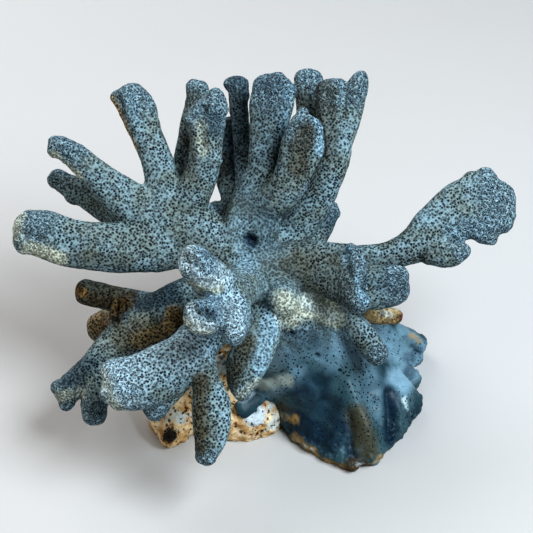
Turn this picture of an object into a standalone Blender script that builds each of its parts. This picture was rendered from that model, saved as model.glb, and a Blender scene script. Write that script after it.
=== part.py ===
"""Blue ridge coral: a branching colony, its base crust and the limestone rubble it grew on.

Run with:  blender --background --python part.py

The colony is drawn in a growth frame, in millimetres, whose origin is the main fork:
across runs to the colony's right (+X), rise runs up the fan of branches, which leans
back by FAN_LEAN, and out points away from the fan's face, towards the front.
Each limb is a loft between unlike sections, from a round root to a flattened tip. The
limbs are fused by a voxel remesh, filleted by smoothing, and parted again at the main
forks by thin saw cuts, so that every branch is a solid of its own.
World: metres, +Z up, origin at the middle of the flat cut under the crust.
"""
import math
from dataclasses import dataclass
from typing import Optional

import bmesh
import bpy
import numpy as np
from mathutils import Matrix, Vector, noise
from mathutils.bvhtree import BVHTree

MM = 0.001

# ---- driving dimensions, in millimetres and degrees --------------------------------------
FAN_LEAN = math.radians(40.0)     # how far the fan of branches leans back from upright
FORK_HEIGHT = 65.0                # height of the main fork above the flat base cut
GAP = 0.3                         # kerf of a fork cut
STONE_GAP = 0.7                   # gap between the coral and the limestone, before it is rounded
SECTION_POINTS = 14               # points round a limb's section
SECTION_POWER = 2.35              # superellipse power: 2 is an ellipse, more is boxier
RINGS_PER_STATION = 4             # rings from one station to the next
TIP_REACH = 0.2                   # how far a rounded tip runs on, as a share of width + thickness
TIP_RINGS = (25.0, 50.0, 75.0)    # latitudes of the rings that round a tip off
FUSE_VOXEL = 1.0                  # voxel of the remesh that fuses the limbs
FILLET_STEPS = 7                  # smoothing passes that fillet the forks
RUBBLE_STEPS = 2                  # smoothing passes on the limestone, which stays rough
LUMP_HEIGHT = 0.55                # height of the lumps on the branches
LUMP_SIZE = 9.0                   # spacing of the lumps
CORAL_TRIANGLES = 5700            # triangles left on the fused colony
SLIVER = 0.05                     # slivers narrower than this are closed up before the saw
RUBBLE_TRIANGLES = 560            # triangles left on the block of limestone

# ---- directions in the growth frame -------------------------------------------------------
OUT = (0.0, 0.0, 1.0)
RISE = (0.0, 1.0, 0.0)


@dataclass(frozen=True)
class Limb:
    """A growth of coral: stations (across, rise, out, width, thickness) along its middle."""

    stations: tuple
    facing: tuple = OUT           # the way the flat side of its section faces
    fork: Optional[float] = None  # place of its fork cut along the middle line, 0 to 1
    saw: float = 1.6              # reach of that cut, as a share of the width there
    part_of: str = ""             # node that it is a lobe of, where it isn't cut off


LIMBS = {
    # ---- the left palm and its six fingers
    "left_palm": Limb((
        (-14.5, 3, -8, 23, 26), (-25, 12, -4, 23.5, 20), (-33, 20.5, -2, 25, 15),
        (-38, 28, -1, 21.5, 12)), fork=0.47),
    "left_long_arm": Limb((
        (-28.5, 11.5, -4, 20.5, 16), (-44, 9, -2, 20, 14), (-59, 8.5, 0, 19, 13),
        (-73, 10, 1, 18.5, 12.5), (-83.5, 13.5, 2, 18.5, 12), (-90, 14.5, 2, 17, 11)), fork=0.45),
    "left_forked_finger": Limb((
        (-50, 17.5, -4, 13, 10), (-62, 24.5, -9, 11.5, 9), (-72, 30.5, -12, 10, 9),
        (-81.5, 35.5, -14, 8, 8)), fork=0.36),
    "left_upper_finger": Limb((
        (-40, 20, -2, 19, 12), (-52, 26, 0, 16.5, 12), (-61.5, 34, 2, 12.5, 11),
        (-70, 41.5, 4, 10, 10), (-77, 46.5, 6, 9, 9)), fork=0.41),
    "hooked_finger": Limb((
        (-37, 25, -2, 17, 12), (-40.5, 40, 0, 12.5, 11), (-45, 51.5, 0, 12.5, 11),
        (-48.5, 61, -1, 14.5, 11), (-52, 66.5, -2, 12.5, 10)), fork=0.28),
    "back_left_finger": Limb((
        (-30.5, 30.5, -6, 13, 11), (-30, 46.5, -10, 9.5, 9), (-28, 60.5, -13, 8.5, 8),
        (-26.5, 70, -14, 8, 8)), fork=0.30),
    "lumpy_finger": Limb((
        (-29.5, 24.5, 0, 15, 12), (-23.5, 37.5, 4, 12.5, 12), (-22, 49, 6, 12.5, 12),
        (-22, 56, 7, 15.5, 12), (-18.5, 64, 8, 9, 10)), fork=0.25),
    # ---- the middle stem and its blades
    "centre_stem": Limb((
        (-9.5, 3, -6, 21.5, 24), (-5.5, 16, -2, 22, 18), (-2.5, 27.5, 0, 20, 14),
        (-1, 34, 0, 16.5, 11)), fork=0.45),
    "thin_back_blade": Limb((
        (-6.5, 28.5, -7, 10, 9), (-8.5, 46, -12, 7, 7), (-10, 60, -13, 7.5, 7),
        (-11, 73, -14, 7.5, 7)), fork=0.18),
    "shadow_blade": Limb((
        (-10, 21, -10, 8.5, 9), (-14.5, 33, -17, 8.5, 8), (-15.5, 45, -20, 7.5, 7.5),
        (-13.5, 58, -22, 6.5, 7)), fork=0.31),
    "centre_paddle": Limb((
        (-1, 30.5, 0, 11.5, 11), (-0.5, 41.5, 2, 11.5, 11), (1, 53, 2, 14, 11),
        (2.5, 63, 1, 17.5, 10), (3, 70, 0, 15, 9)), fork=0.26),
    "leaf_paddle": Limb((
        (-1, 24.5, 2, 14.5, 13), (7, 29.5, 6, 13.5, 12), (11, 38, 10, 14, 11),
        (14, 46.5, 13, 16.5, 9.5), (15, 53.5, 14, 12.5, 9)), fork=0.51),
    "back_stub": Limb((
        (-13, 14.5, -10, 9.5, 9), (-20, 23.5, -13, 8, 8)), part_of="main_trunk"),
    # ---- the tall blade on the right and those behind it
    "tall_right_blade": Limb((
        (1, 3, -10, 17, 22), (9.5, 13, -12, 14.5, 16), (18, 24, -9, 13.5, 14),
        (24, 35.5, -6, 12.5, 13), (27.5, 46, -4, 12, 12)), fork=0.42),
    "blade_left_lobe": Limb((
        (27.5, 46, -4, 11.5, 12), (26.5, 58, -3, 13.5, 10), (25.5, 69, -3, 13.5, 8)),
        part_of="tall_right_blade"),
    "blade_right_lobe": Limb((
        (28.5, 48, -4, 10, 11), (33, 61, -3, 9.5, 9), (36, 72, -2, 7.5, 8)),
        part_of="tall_right_blade"),
    "back_right_finger": Limb((
        (9.5, 21.5, -16, 11.5, 12), (14.5, 43, -20, 9.5, 10), (17, 61, -21, 9.5, 9),
        (17, 75.5, -21, 12, 9)), fork=0.26),
    "back_right_blade": Limb((
        (12, 3, -20, 13.5, 16), (21, 14.5, -24, 9.5, 10), (26, 24, -27, 9, 8)), fork=0.47),
    # ---- the right shoulder and arms
    "shoulder_root": Limb((
        (-1, -3, -6, 21.5, 28), (11.5, 1, -2, 20.5, 22), (21.5, 1, 4, 20.5, 16)),
        part_of="main_trunk"),
    "right_shoulder": Limb((
        (21.5, 1, 4, 19.5, 12), (28.5, -1, 12, 23, 7), (32, -2, 16, 23, 6)), fork=0.36, saw=2.6),
    "shoulder_tip": Limb((
        (26, -4.5, 8, 11, 10), (35, -12, 17, 8, 10)), part_of="right_shoulder"),
    "right_long_arm": Limb((
        (15.5, 1, -12, 15.5, 18), (33.5, 4, -11, 11, 13), (47.5, 5.5, -10, 11, 11.5),
        (57.5, 9.5, -9, 14, 11), (66.5, 17, -8, 18.5, 11), (76, 22.5, -7, 24, 11),
        (84.5, 24, -6, 29, 10.5), (90.5, 24, -6, 21.5, 9)), fork=0.36),
    "long_arm_side_lobe": Limb((
        (63.5, 7.5, -7, 11.5, 10), (71, 6, -5, 10, 9), (76, 7.5, -4, 7, 8)),
        part_of="right_long_arm"),
    "right_knob": Limb((
        (27, -4, -2, 15.5, 15), (40, -6.5, 3, 17, 12), (49.5, -5.5, 4.5, 15.5, 11)), fork=0.50),
    "drooping_finger": Limb((
        (23, -7.5, -8, 14, 16), (31, -17.5, -6, 11, 12), (38, -26, -2, 10.5, 11),
        (42.5, -32, 2, 9, 10)), fork=0.60),
    "red_tipped_twig": Limb((
        (22, -12, -14, 10, 10), (38, -16.5, -17, 8.5, 8), (51.5, -18.5, -19, 6.5, 6.5)), fork=0.64),
    # ---- the front arm, which reaches furthest out
    "front_arm": Limb((
        (-6, -3, 0, 18, 18), (-11, -7.5, 14, 18.5, 15), (-15.5, -10, 30, 19, 15)),
        facing=RISE, fork=0.64),
    "knuckle_upper": Limb((
        (-14, -9, 29, 15, 15), (-20, -2, 43, 12.5, 14), (-25, 3, 53, 10.5, 13)),
        facing=RISE, part_of="front_arm"),
    "knuckle_lower": Limb((
        (-16, -12.5, 32, 14, 14), (-19.5, -16, 44, 13.5, 14), (-22, -16, 54, 12.5, 13)),
        facing=RISE, part_of="front_arm"),
    "knuckle_right": Limb((
        (-12, -10.5, 30, 13, 14), (-10.5, -16, 41, 11.5, 13), (-11, -21, 49, 9, 12)),
        facing=RISE, part_of="front_arm"),
    # ---- the front left arm, its lobe, and the two blades under it
    "front_left_arm": Limb((
        (-10, -13, -4, 18, 20), (-17, -18.5, 4, 17, 17), (-23.5, -25, 12, 16.5, 15),
        (-28.5, -30.5, 17, 17.5, 15), (-34, -35, 20, 20, 14), (-43.5, -40, 24, 21, 14),
        (-52.5, -41.5, 27, 20, 13)), fork=0.36),
    "front_left_lobe": Limb((
        (-33, -40.5, 17, 12, 11), (-41, -51.5, 19, 9, 10)), part_of="front_left_arm"),
    "front_curved_blade": Limb((
        (-1, -13, -2, 15, 14), (-1, -21, 6, 15, 11), (-3.5, -28.5, 9.5, 16, 10),
        (-7, -35.5, 10.5, 16, 9), (-8.5, -42, 11, 12, 8.5), (-8.5, -46, 11.5, 7, 8)),
        facing=(-0.3, 0.0, 0.95), fork=0.44),
    "hanging_blade": Limb((
        (-24, -29.5, 15, 10, 12), (-21.5, -39.5, 20.5, 10.5, 10), (-19.5, -49.5, 24, 14.5, 9.5),
        (-19.5, -59, 26, 13, 9), (-21.5, -67.5, 27.5, 8, 8)), fork=0.44),
    # ---- the low left arm, its two fingers and the broken growths behind it
    "low_left_arm": Limb((
        (-16.5, -9.5, -10, 24, 22), (-31, -15, -9, 23, 18), (-44, -21.5, -7, 21.5, 16),
        (-56.5, -30.5, -6, 18, 14), (-65, -38.5, -4, 14, 13)), fork=0.20),
    "broken_ridge": Limb((
        (-49, -17.5, -8, 11.5, 11), (-55.5, -14.5, -4, 11.5, 7)), part_of="low_left_arm"),
    "low_left_finger": Limb((
        (-56.5, -30.5, -6, 14, 13), (-69, -40.5, -3, 11.5, 12), (-76, -46.5, -1, 10.5, 11)),
        part_of="low_left_arm"),
    "low_left_knuckle": Limb((
        (-58.5, -37.5, -4, 12, 12), (-64, -48.5, 1, 11, 12), (-64.5, -55, 3, 10, 11)),
        part_of="low_left_arm"),
    "broken_stub": Limb((
        (-44.5, -14, -11, 11, 12), (-57.5, -11.5, -13, 10, 10), (-70, -8.5, -13, 10.5, 10.5)),
        fork=0.60),
    "tan_knob": Limb((
        (-50, -19, -15, 12.5, 13), (-62, -22, -25, 14, 13), (-66, -23, -26, 12.5, 12)),
        fork=0.45),
    # ---- the branches behind the fan
    "rear_left_branch": Limb((
        (-9, 2, -12, 20, 18), (-20, 10, -30, 15, 12), (-27, 17, -47, 13, 10),
        (-29, 20, -55, 11, 9)), facing=RISE, fork=0.30),
    "rear_middle_branch": Limb((
        (3, 2, -14, 20, 18), (5, 14, -36, 14, 12), (3, 26, -54, 15, 10),
        (2, 32, -62, 12, 9)), facing=RISE, fork=0.30),
    "rear_right_branch": Limb((
        (14, -3, -12, 18, 18), (27, -2, -30, 13, 12), (36, 1, -46, 13, 10),
        (39, 3, -53, 11, 9)), facing=RISE, fork=0.36),
    # ---- the thick trunk under the main fork
    "main_trunk": Limb((
        (29, -54, -36, 54, 44), (22, -38, -27, 46, 44), (11, -24, -19, 50, 40),
        (5, -10, -10, 42, 34), (-2, 0, -5, 28, 28))),
    "crust_tongue": Limb((
        (3, -44, -22, 9, 6), (-3, -50, -18, 8, 6), (-9, -54.5, -13, 8, 5)), part_of="base_crust"),
    "centre_bulge": Limb((
        (2, -4.5, -4, 17, 20), (7.5, -11.5, 9, 12.5, 13)), part_of="main_trunk"),
}


# ---- small helpers ----------------------------------------------------------------------

def to_world(point) -> Vector:
    """Takes a growth-frame point in millimetres to world metres."""
    across, rise, out = point
    y = rise * math.sin(FAN_LEAN) - out * math.cos(FAN_LEAN)
    z = FORK_HEIGHT + rise * math.cos(FAN_LEAN) + out * math.sin(FAN_LEAN)
    return Vector((across, y, z)) * MM


def smooth_path(stations, steps: int) -> np.ndarray:
    """Catmull-Rom curve through the stations, all five values blended together."""
    known = np.array(stations, dtype=float)
    padded = np.vstack([2 * known[0] - known[1], known, 2 * known[-1] - known[-2]])
    t = np.linspace(0.0, 1.0, steps, endpoint=False)[:, None]
    rows = []
    for before, start, end, after in zip(padded, padded[1:], padded[2:], padded[3:]):
        rows.append(0.5 * (2 * start + (end - before) * t
                           + (2 * before - 5 * start + 4 * end - after) * t ** 2
                           + (3 * start - before - 3 * end + after) * t ** 3))
    rows.append(known[-1:])
    return np.vstack(rows)


def limb_rings(limb: Limb) -> np.ndarray:
    """Rings of a limb, in growth millimetres: its sections, closed down at both ends."""
    path = smooth_path(limb.stations, RINGS_PER_STATION)
    centre, width, thick = path[:, :3], path[:, 3], path[:, 4]
    along = np.gradient(centre, axis=0)
    along /= np.linalg.norm(along, axis=1)[:, None]
    side = np.cross(along, np.array(limb.facing))
    side /= np.linalg.norm(side, axis=1)[:, None]
    flat = np.cross(side, along)
    caps = []
    for end, sign in ((0, -1.0), (-1, 1.0)):
        reach = sign * TIP_REACH * (width[end] + thick[end])
        for lean in np.radians(TIP_RINGS):
            caps.append((centre[end] + reach * math.sin(lean) * along[end],
                         width[end] * math.cos(lean), thick[end] * math.cos(lean),
                         side[end], flat[end]))
    root, tip = caps[:len(TIP_RINGS)], caps[len(TIP_RINGS):]
    body = list(zip(centre, width, thick, side, flat))
    turn = np.linspace(0.0, 2 * math.pi, SECTION_POINTS, endpoint=False)
    c, s = np.cos(turn), np.sin(turn)
    a = np.sign(c) * np.abs(c) ** (2 / SECTION_POWER) / 2
    b = np.sign(s) * np.abs(s) ** (2 / SECTION_POWER) / 2
    rings = [mid + np.outer(a * w, across) + np.outer(b * t, out)
             for mid, w, t, across, out in root[::-1] + body + tip]
    return np.array(rings)


@dataclass(frozen=True)
class Mound:
    """A low spreading mass: its edge from above as (x, y, height of the rim), and its peak."""

    edge: tuple
    middle: tuple                 # (x, y) that the rings close in on
    peak: float                   # height over the middle
    shape: float = 1.0            # under 1 the flanks are full, over 1 they are hollow


# The crust's folds run outwards from its middle: (direction in degrees, half width, depth)
CRUST_FOLDS = ((-79.0, 7.0, -3.0), (-64.0, 7.0, 1.8), (-52.0, 6.0, -2.6), (-22.0, 12.0, 1.8),
               (12.0, 9.0, -1.5), (52.0, 10.0, 1.4), (110.0, 14.0, -1.6), (150.0, 14.0, 1.4))
CRUST = Mound(
    edge=((34, -45, 5), (42, -41.5, 6), (49, -34, 6), (56, -25, 7), (61.5, -15, 7.5),
          (63, -8, 7.5), (60, -2, 5), (64, 5, 6), (61.5, 13, 5), (67, 19, 9), (66, 26, 10),
          (59, 30, 6), (54, 36, 5), (48, 42, 5), (36, 46, 5), (20, 48, 5), (4, 46, 5),
          (-10, 38, 6), (-20, 26, 8), (-22, 12, 12), (-18, 0, 17), (-13, -12, 18),
          (-10, -22, 15), (-4, -19, 19), (2, -20, 20), (8, -22, 17), (13, -23, 13),
          (10, -27, 9), (16, -33, 7), (23, -39, 5)),
    middle=(22, 0), peak=45.0, shape=0.8)
RUBBLE = Mound(
    edge=((-38, -33, 8), (-33, -30, 11), (-28, -26, 15), (-20, -26, 17), (-13, -28, 13),
          (-4, -28, 12), (4, -24, 10), (7, -17, 10), (-4, -8, 13), (-8, 4, 15), (-13, 13, 15),
          (-20, 17, 14), (-32, 13, 12), (-41, 2, 12), (-47, -10, 12), (-47, -18, 11),
          (-44, -26, 9)),
    middle=(-20, -6), peak=25.0, shape=0.6)
RUBBLE_ROUGHNESS = 1.5            # height of the rubble's knobs and pits
RUBBLE_GRAIN = 11.0               # spacing of its knobs
PIT_LEVEL = 0.22                  # noise level over which the limestone is pitted
BELOW_CUT = 4.0                   # depth of the mounds under the base plane, cut away later
# A mound's wall runs up from under the base plane: (share of the spoke, share of the rim's height)
MOUND_WALL = ((0.96, 0.0), (1.0, 0.45), (0.995, 0.8), (0.95, 1.0))
MOUND_DOME = (0.88, 0.8, 0.7, 0.6, 0.5, 0.38, 0.25, 0.1)  # shares of the spoke, over the rim
# The trunk is sawn off the crust level, at this middle and within this radius
CRUST_FORK_MIDDLE = (12.0, -2.0, 30.0)
CRUST_FORK_RADIUS = 60.0
BASE_BLOCK = (400.0, 100.0)       # width and depth of the block that cuts the base flat
CRUST_HEART = (44.0, -12.0, 6.0)  # a point inside the crust


def mound_rings(mound: Mound, folds=()) -> np.ndarray:
    """Rings of a mound, in world millimetres, from under the base plane up to its peak."""
    edge = np.array(mound.edge, dtype=float)
    edge = smooth_path(np.vstack([edge, edge[:1]]), 3)[:-1]
    middle = np.array(mound.middle, dtype=float)
    spoke, rim = edge[:, :2] - middle, edge[:, 2]
    bearing = np.degrees(np.arctan2(spoke[:, 1], spoke[:, 0]))
    crease = np.zeros(len(edge))
    for direction, half_width, depth in folds:
        off = (bearing - direction + 180.0) % 360.0 - 180.0
        crease += depth * np.exp(-(off / half_width) ** 2)
    foot, brim = MOUND_WALL[0][0], MOUND_WALL[-1][0]
    rings = [np.column_stack([middle + foot * spoke, np.full(len(rim), -BELOW_CUT)])]
    for share, part in MOUND_WALL:
        rings.append(np.column_stack([middle + share * spoke, part * rim]))
    for share in MOUND_DOME:
        height = rim + (mound.peak - rim) * (1.0 - share / brim) ** mound.shape
        height += crease * math.sin(math.pi * min(1.0, (1.05 - share) * 1.3))
        rings.append(np.column_stack([middle + share * spoke, height]))
    return np.array(rings)


def loft(mesh: bmesh.types.BMesh, rings: np.ndarray) -> None:
    """Adds a closed loft through the rings, each end closed by a fan to its middle."""
    count, around = rings.shape[:2]
    rows = [[mesh.verts.new(point) for point in ring] for ring in rings]
    for low, high in zip(rows, rows[1:]):
        for i in range(around):
            j = (i + 1) % around
            mesh.faces.new((low[i], low[j], high[j], high[i]))
    for row, turn in ((rows[0], -1), (rows[-1], 1)):
        hub = mesh.verts.new(sum((v.co for v in row), Vector()) / around)
        for i in range(around):
            j = (i + 1) % around
            ends = (row[i], row[j]) if turn > 0 else (row[j], row[i])
            mesh.faces.new((*ends, hub))


# ---- the Blender side --------------------------------------------------------------------

def new_collection(name: str) -> bpy.types.Collection:
    """Makes a collection in the scene."""
    collection = bpy.data.collections.new(name)
    bpy.context.scene.collection.children.link(collection)
    return collection


def new_object(name: str, mesh, collection) -> bpy.types.Object:
    """Links a new object for a mesh, which may be a bmesh, into a collection."""
    if isinstance(mesh, bmesh.types.BMesh):
        bmesh.ops.recalc_face_normals(mesh, faces=mesh.faces)
        data = bpy.data.meshes.new(name)
        mesh.to_mesh(data)
        mesh.free()
        mesh = data
    obj = bpy.data.objects.new(name, mesh)
    collection.objects.link(obj)
    return obj


def bake(obj: bpy.types.Object) -> None:
    """Applies the object's modifiers to its mesh."""
    depsgraph = bpy.context.evaluated_depsgraph_get()
    mesh = bpy.data.meshes.new_from_object(obj.evaluated_get(depsgraph))
    obj.modifiers.clear()
    old, obj.data = obj.data, mesh
    bpy.data.meshes.remove(old)


def fuse(obj: bpy.types.Object, voxel: float, smoothing: int) -> None:
    """Fuses an object's overlapping shells into one skin, and rounds its creases."""
    remesh = obj.modifiers.new("Fuse", "REMESH")
    remesh.mode = "VOXEL"
    remesh.voxel_size = voxel * MM
    smooth = obj.modifiers.new("Fillet", "SMOOTH")
    smooth.factor = 0.5
    smooth.iterations = smoothing
    bake(obj)


def roughen(obj: bpy.types.Object, height: float, size: float, ridged: bool = False) -> None:
    """Moves the skin in and out along its normals by fractal noise: lumps, or ledges and pits."""
    mesh = obj.data
    places, normals = np.empty(3 * len(mesh.vertices)), np.empty(3 * len(mesh.vertices))
    mesh.vertices.foreach_get("co", places)
    mesh.vertex_normals.foreach_get("vector", normals)
    places, normals = places.reshape(-1, 3), normals.reshape(-1, 3)
    swell = []
    for place in places / (size * MM):
        place = Vector(place)
        if ridged:
            pit = max(0.0, noise.noise(place * 2.3) - PIT_LEVEL)
            swell.append(noise.hetero_terrain(place, 1.0, 2.1, 3, 0.6) - 1.0 - 1.3 * pit)
        else:
            swell.append(noise.noise(place) + 0.4 * noise.noise(place * 2.2))
    push = np.clip(swell, -1.6, 1.2)[:, None] * height * MM
    mesh.vertices.foreach_set("co", (places + normals * push).ravel())
    mesh.update()


def thin_out(obj: bpy.types.Object, triangles: int) -> None:
    """Collapses a dense skin to about the given number of triangles."""
    decimate = obj.modifiers.new("Thin", "DECIMATE")
    decimate.ratio = triangles / (2 * len(obj.data.polygons))
    bake(obj)


def cut(obj: bpy.types.Object, cutter: bpy.types.Object) -> None:
    """Cuts one object with another by an exact Boolean, and applies it."""
    cutter.display_type = "WIRE"
    cutter.hide_render = True
    boolean = obj.modifiers.new("Cut", "BOOLEAN")
    boolean.operation = "DIFFERENCE"
    boolean.solver = "EXACT"
    boolean.object = cutter
    bake(obj)


def base_cutter(collection) -> bpy.types.Object:
    """A block that lies under the base plane, for the flat cut."""
    block = bmesh.new()
    wide, deep = np.array(BASE_BLOCK) * MM
    place = Matrix.Translation((0.0, 0.0, -deep / 2)) @ Matrix.Diagonal((wide, wide, deep, 1.0))
    bmesh.ops.create_cube(block, size=1.0, matrix=place)
    return new_object("base_cutter", block, collection)


def ordered_loops(edges) -> list:
    """Closed loops of vertices that a set of cut edges makes."""
    links = {}
    for edge in edges:
        first, second = edge.verts
        links.setdefault(first, []).append(second)
        links.setdefault(second, []).append(first)
    loops, seen = [], set()
    for start in links:
        if start in seen:
            continue
        loop, here = [], start
        while here is not None:
            seen.add(here)
            loop.append(here)
            here = next((v for v in links[here] if v not in seen), None)
        if loop[0] in links[loop[-1]]:
            loops.append(loop)
    return loops


def winds_round(loop, middle: Vector, turn) -> bool:
    """Tells whether a flat loop winds round its cut's middle."""
    flat = [turn @ (vertex.co - middle) for vertex in loop]
    inside = False
    for a, b in zip(flat, flat[1:] + flat[:1]):
        if (a.y > 0.0) != (b.y > 0.0) and a.x - a.y * (b.x - a.x) / (b.y - a.y) > 0.0:
            inside = not inside
    return inside


def saw_off(body: bmesh.types.BMesh, middle: Vector, along: Vector, reach: float) -> list:
    """Saws a limb through at a plane, within reach of its middle, and caps both faces.

    Only the loop of the cut that winds round the middle is opened, and the rest of the cut
    is healed, so that the limbs beside this one stay whole. Each face is drawn back by half
    the gap. Returns the points of the loop, or none where the cut misses the limb.
    """
    near = [f for f in body.faces if (f.calc_center_median() - middle).length < reach]
    corners = dict.fromkeys(v for f in near for v in f.verts)
    sides = dict.fromkeys(e for f in near for e in f.edges)
    cut = bmesh.ops.bisect_plane(body, geom=[*corners, *sides, *near], plane_co=middle,
                                 plane_no=along, dist=1e-8)
    edges = [item for item in cut["geom_cut"] if isinstance(item, bmesh.types.BMEdge)]
    turn = along.to_track_quat("Z", "Y").inverted()
    rounds = [loop for loop in ordered_loops(edges) if winds_round(loop, middle, turn)]
    if not rounds:
        return []
    loop = min(rounds, key=lambda ring: max((v.co - middle).length for v in ring))
    ring = set(loop)
    shape = [vertex.co.copy() for vertex in loop]
    beyond = [edge for edge in edges if not ring.issuperset(edge.verts)]
    bmesh.ops.dissolve_edges(body, edges=beyond, use_verts=True, use_face_split=False)
    edges = dict.fromkeys(edge for vertex in loop for edge in vertex.link_edges
                          if ring.issuperset(edge.verts))
    opened = bmesh.ops.split_edges(body, edges=[*edges])
    rims = [e for e in opened["edges"] if e.is_boundary]
    for rim in ordered_loops(rims):
        beside = next(f for f in rim[0].link_faces)
        side = 1.0 if (beside.calc_center_median() - middle).dot(along) > 0.0 else -1.0
        for vertex in rim:
            vertex.co += along.normalized() * side * 0.5 * GAP * MM
        body.faces.new(rim)
    bmesh.ops.triangulate(body, faces=[f for f in body.faces if len(f.verts) > 3])
    return shape


def fork_cuts() -> dict:
    """The plane of each fork cut: its middle, direction and reach, by the limb's name."""
    level = Vector((0.0, 0.0, 1.0))
    cuts = {"main_trunk": (Vector(CRUST_FORK_MIDDLE) * MM, level, CRUST_FORK_RADIUS * MM)}
    for name, limb in LIMBS.items():
        if limb.part_of or name in cuts:
            continue
        path = smooth_path(limb.stations, RINGS_PER_STATION)
        index = limb.fork * (len(path) - 1)
        here = int(index)
        middle = path[here] + (path[here + 1] - path[here]) * (index - here)
        along = to_world(path[here + 1][:3]) - to_world(path[here][:3])
        cuts[name] = (to_world(middle[:3]), along, limb.saw * max(middle[3:]) * MM)
    return cuts


def loose_parts(whole: bmesh.types.BMesh) -> list:
    """The separate bodies of a mesh, each as a bmesh of its own."""
    parts, seen = [], set()
    for start in whole.verts:
        if start in seen:
            continue
        seen.add(start)
        body = [start]
        for vertex in body:
            beside = [edge.other_vert(vertex) for edge in vertex.link_edges]
            body += [other for other in beside if other not in seen]
            seen.update(beside)
        part = bmesh.new()
        twin = {vertex: part.verts.new(vertex.co) for vertex in body}
        for face in dict.fromkeys(f for vertex in body for f in vertex.link_faces):
            part.faces.new([twin[vertex] for vertex in face.verts])
        parts.append(part)
    return parts


def encloses(tree: BVHTree, point: Vector) -> bool:
    """Tells whether a closed skin encloses a point, by counting crossings of a ray."""
    direction = Vector((0.137, 0.211, 0.968)).normalized()
    crossings, start = 0, point.copy()
    while True:
        hit = tree.ray_cast(start, direction)[0]
        if hit is None:
            return crossings % 2 == 1
        crossings += 1
        start = hit + direction * 1e-6


def anchors() -> dict:
    """A point inside each node of the colony, by the node's name."""
    inside = {"base_crust": Vector(CRUST_HEART) * MM}
    for name, limb in LIMBS.items():
        if limb.part_of:
            continue
        path = smooth_path(limb.stations, RINGS_PER_STATION)
        last = len(path) - 1
        inside[name] = to_world(path[last if limb.fork else round(0.6 * last)][:3])
    return inside


# Base colours by region, as linear red, green and blue
BLUE_GREY = (0.19, 0.27, 0.33)
PALE_BLUE = (0.30, 0.43, 0.52)
DEEP_BLUE = (0.06, 0.15, 0.25)
TAN = (0.36, 0.24, 0.11)
NODE_COLOURS = {
    "base_crust": DEEP_BLUE, "limestone_rubble": TAN, "broken_stub": TAN, "tan_knob": TAN,
    "red_tipped_twig": TAN, "front_arm": PALE_BLUE, "front_left_arm": PALE_BLUE,
    "front_curved_blade": PALE_BLUE, "hanging_blade": PALE_BLUE,
}


def dress(obj: bpy.types.Object) -> None:
    """Gives a node its own stony material, and shades it smooth."""
    material = bpy.data.materials.new(obj.name)
    material.use_nodes = True
    shader = material.node_tree.nodes["Principled BSDF"]
    shader.inputs["Base Color"].default_value = (*NODE_COLOURS.get(obj.name, BLUE_GREY), 1.0)
    shader.inputs["Roughness"].default_value = 0.8
    shader.inputs["Metallic"].default_value = 0.0
    obj.data.materials.clear()
    obj.data.materials.append(material)
    obj.data.shade_smooth()
    obj.data.set_sharp_from_angle(angle=math.radians(45.0))


def build_rubble(collection, cutters, base) -> tuple:
    """The loose block of old limestone, flat underneath, and its outline grown by the gap."""
    block = bmesh.new()
    loft(block, mound_rings(RUBBLE) * MM)
    rubble = new_object("limestone_rubble", block, collection)
    fuse(rubble, FUSE_VOXEL, RUBBLE_STEPS)
    roughen(rubble, RUBBLE_ROUGHNESS, RUBBLE_GRAIN, ridged=True)
    thin_out(rubble, RUBBLE_TRIANGLES)
    cut(rubble, base)
    swollen = new_object("rubble_clearance", rubble.data.copy(), cutters)
    for vertex in swollen.data.vertices:
        vertex.co += vertex.normal * STONE_GAP * MM
    fuse(swollen, FUSE_VOXEL, 0)
    thin_out(swollen, RUBBLE_TRIANGLES)
    return rubble, swollen


def build_colony(cutters, base, rubble_clearance) -> bpy.types.Object:
    """The whole coral as one skin, with its flat base, before it is parted at the forks."""
    lofts = bmesh.new()
    for limb in LIMBS.values():
        rings = limb_rings(limb)
        loft(lofts, np.array([[to_world(point) for point in ring] for ring in rings]))
    loft(lofts, mound_rings(CRUST, CRUST_FOLDS) * MM)
    colony = new_object("colony", lofts, cutters)
    fuse(colony, FUSE_VOXEL, FILLET_STEPS)
    roughen(colony, LUMP_HEIGHT, LUMP_SIZE)
    thin_out(colony, CORAL_TRIANGLES)
    cut(colony, base)
    cut(colony, rubble_clearance)
    return colony


def part_at_forks(colony, collection) -> None:
    """Saws the colony at its main forks and names each piece by the point it holds."""
    body = bmesh.new()
    body.from_mesh(colony.data)
    bmesh.ops.remove_doubles(body, verts=body.verts, dist=SLIVER * MM)
    bmesh.ops.triangulate(body, faces=body.faces)
    for name, (middle, along, reach) in fork_cuts().items():
        if not saw_off(body, middle, along, reach):
            raise ValueError(f"the saw doesn't go round {name}")
    pieces = [(part, BVHTree.FromBMesh(part)) for part in loose_parts(body)]
    body.free()
    taken = {}
    for name, point in anchors().items():
        holders = [i for i, (_, tree) in enumerate(pieces) if encloses(tree, point)]
        if not holders:
            raise ValueError(f"nothing holds the middle of {name}")
        if holders[0] in taken:
            raise ValueError(f"{name} isn't cut off {taken[holders[0]]}")
        taken[holders[0]] = name
    for index, (part, _) in enumerate(pieces):
        if index in taken:
            dress(new_object(taken[index], part, collection))
        else:
            part.free()
    bpy.data.objects.remove(colony)


def main() -> None:
    """Builds the coral from an empty scene."""
    for obj in list(bpy.data.objects):
        bpy.data.objects.remove(obj, do_unlink=True)
    collection = new_collection("blue_ridge_coral")
    cutters = new_collection("cutters")
    base = base_cutter(cutters)
    rubble, clearance = build_rubble(collection, cutters, base)
    colony = build_colony(cutters, base, clearance)
    part_at_forks(colony, collection)
    dress(rubble)


main()
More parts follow.
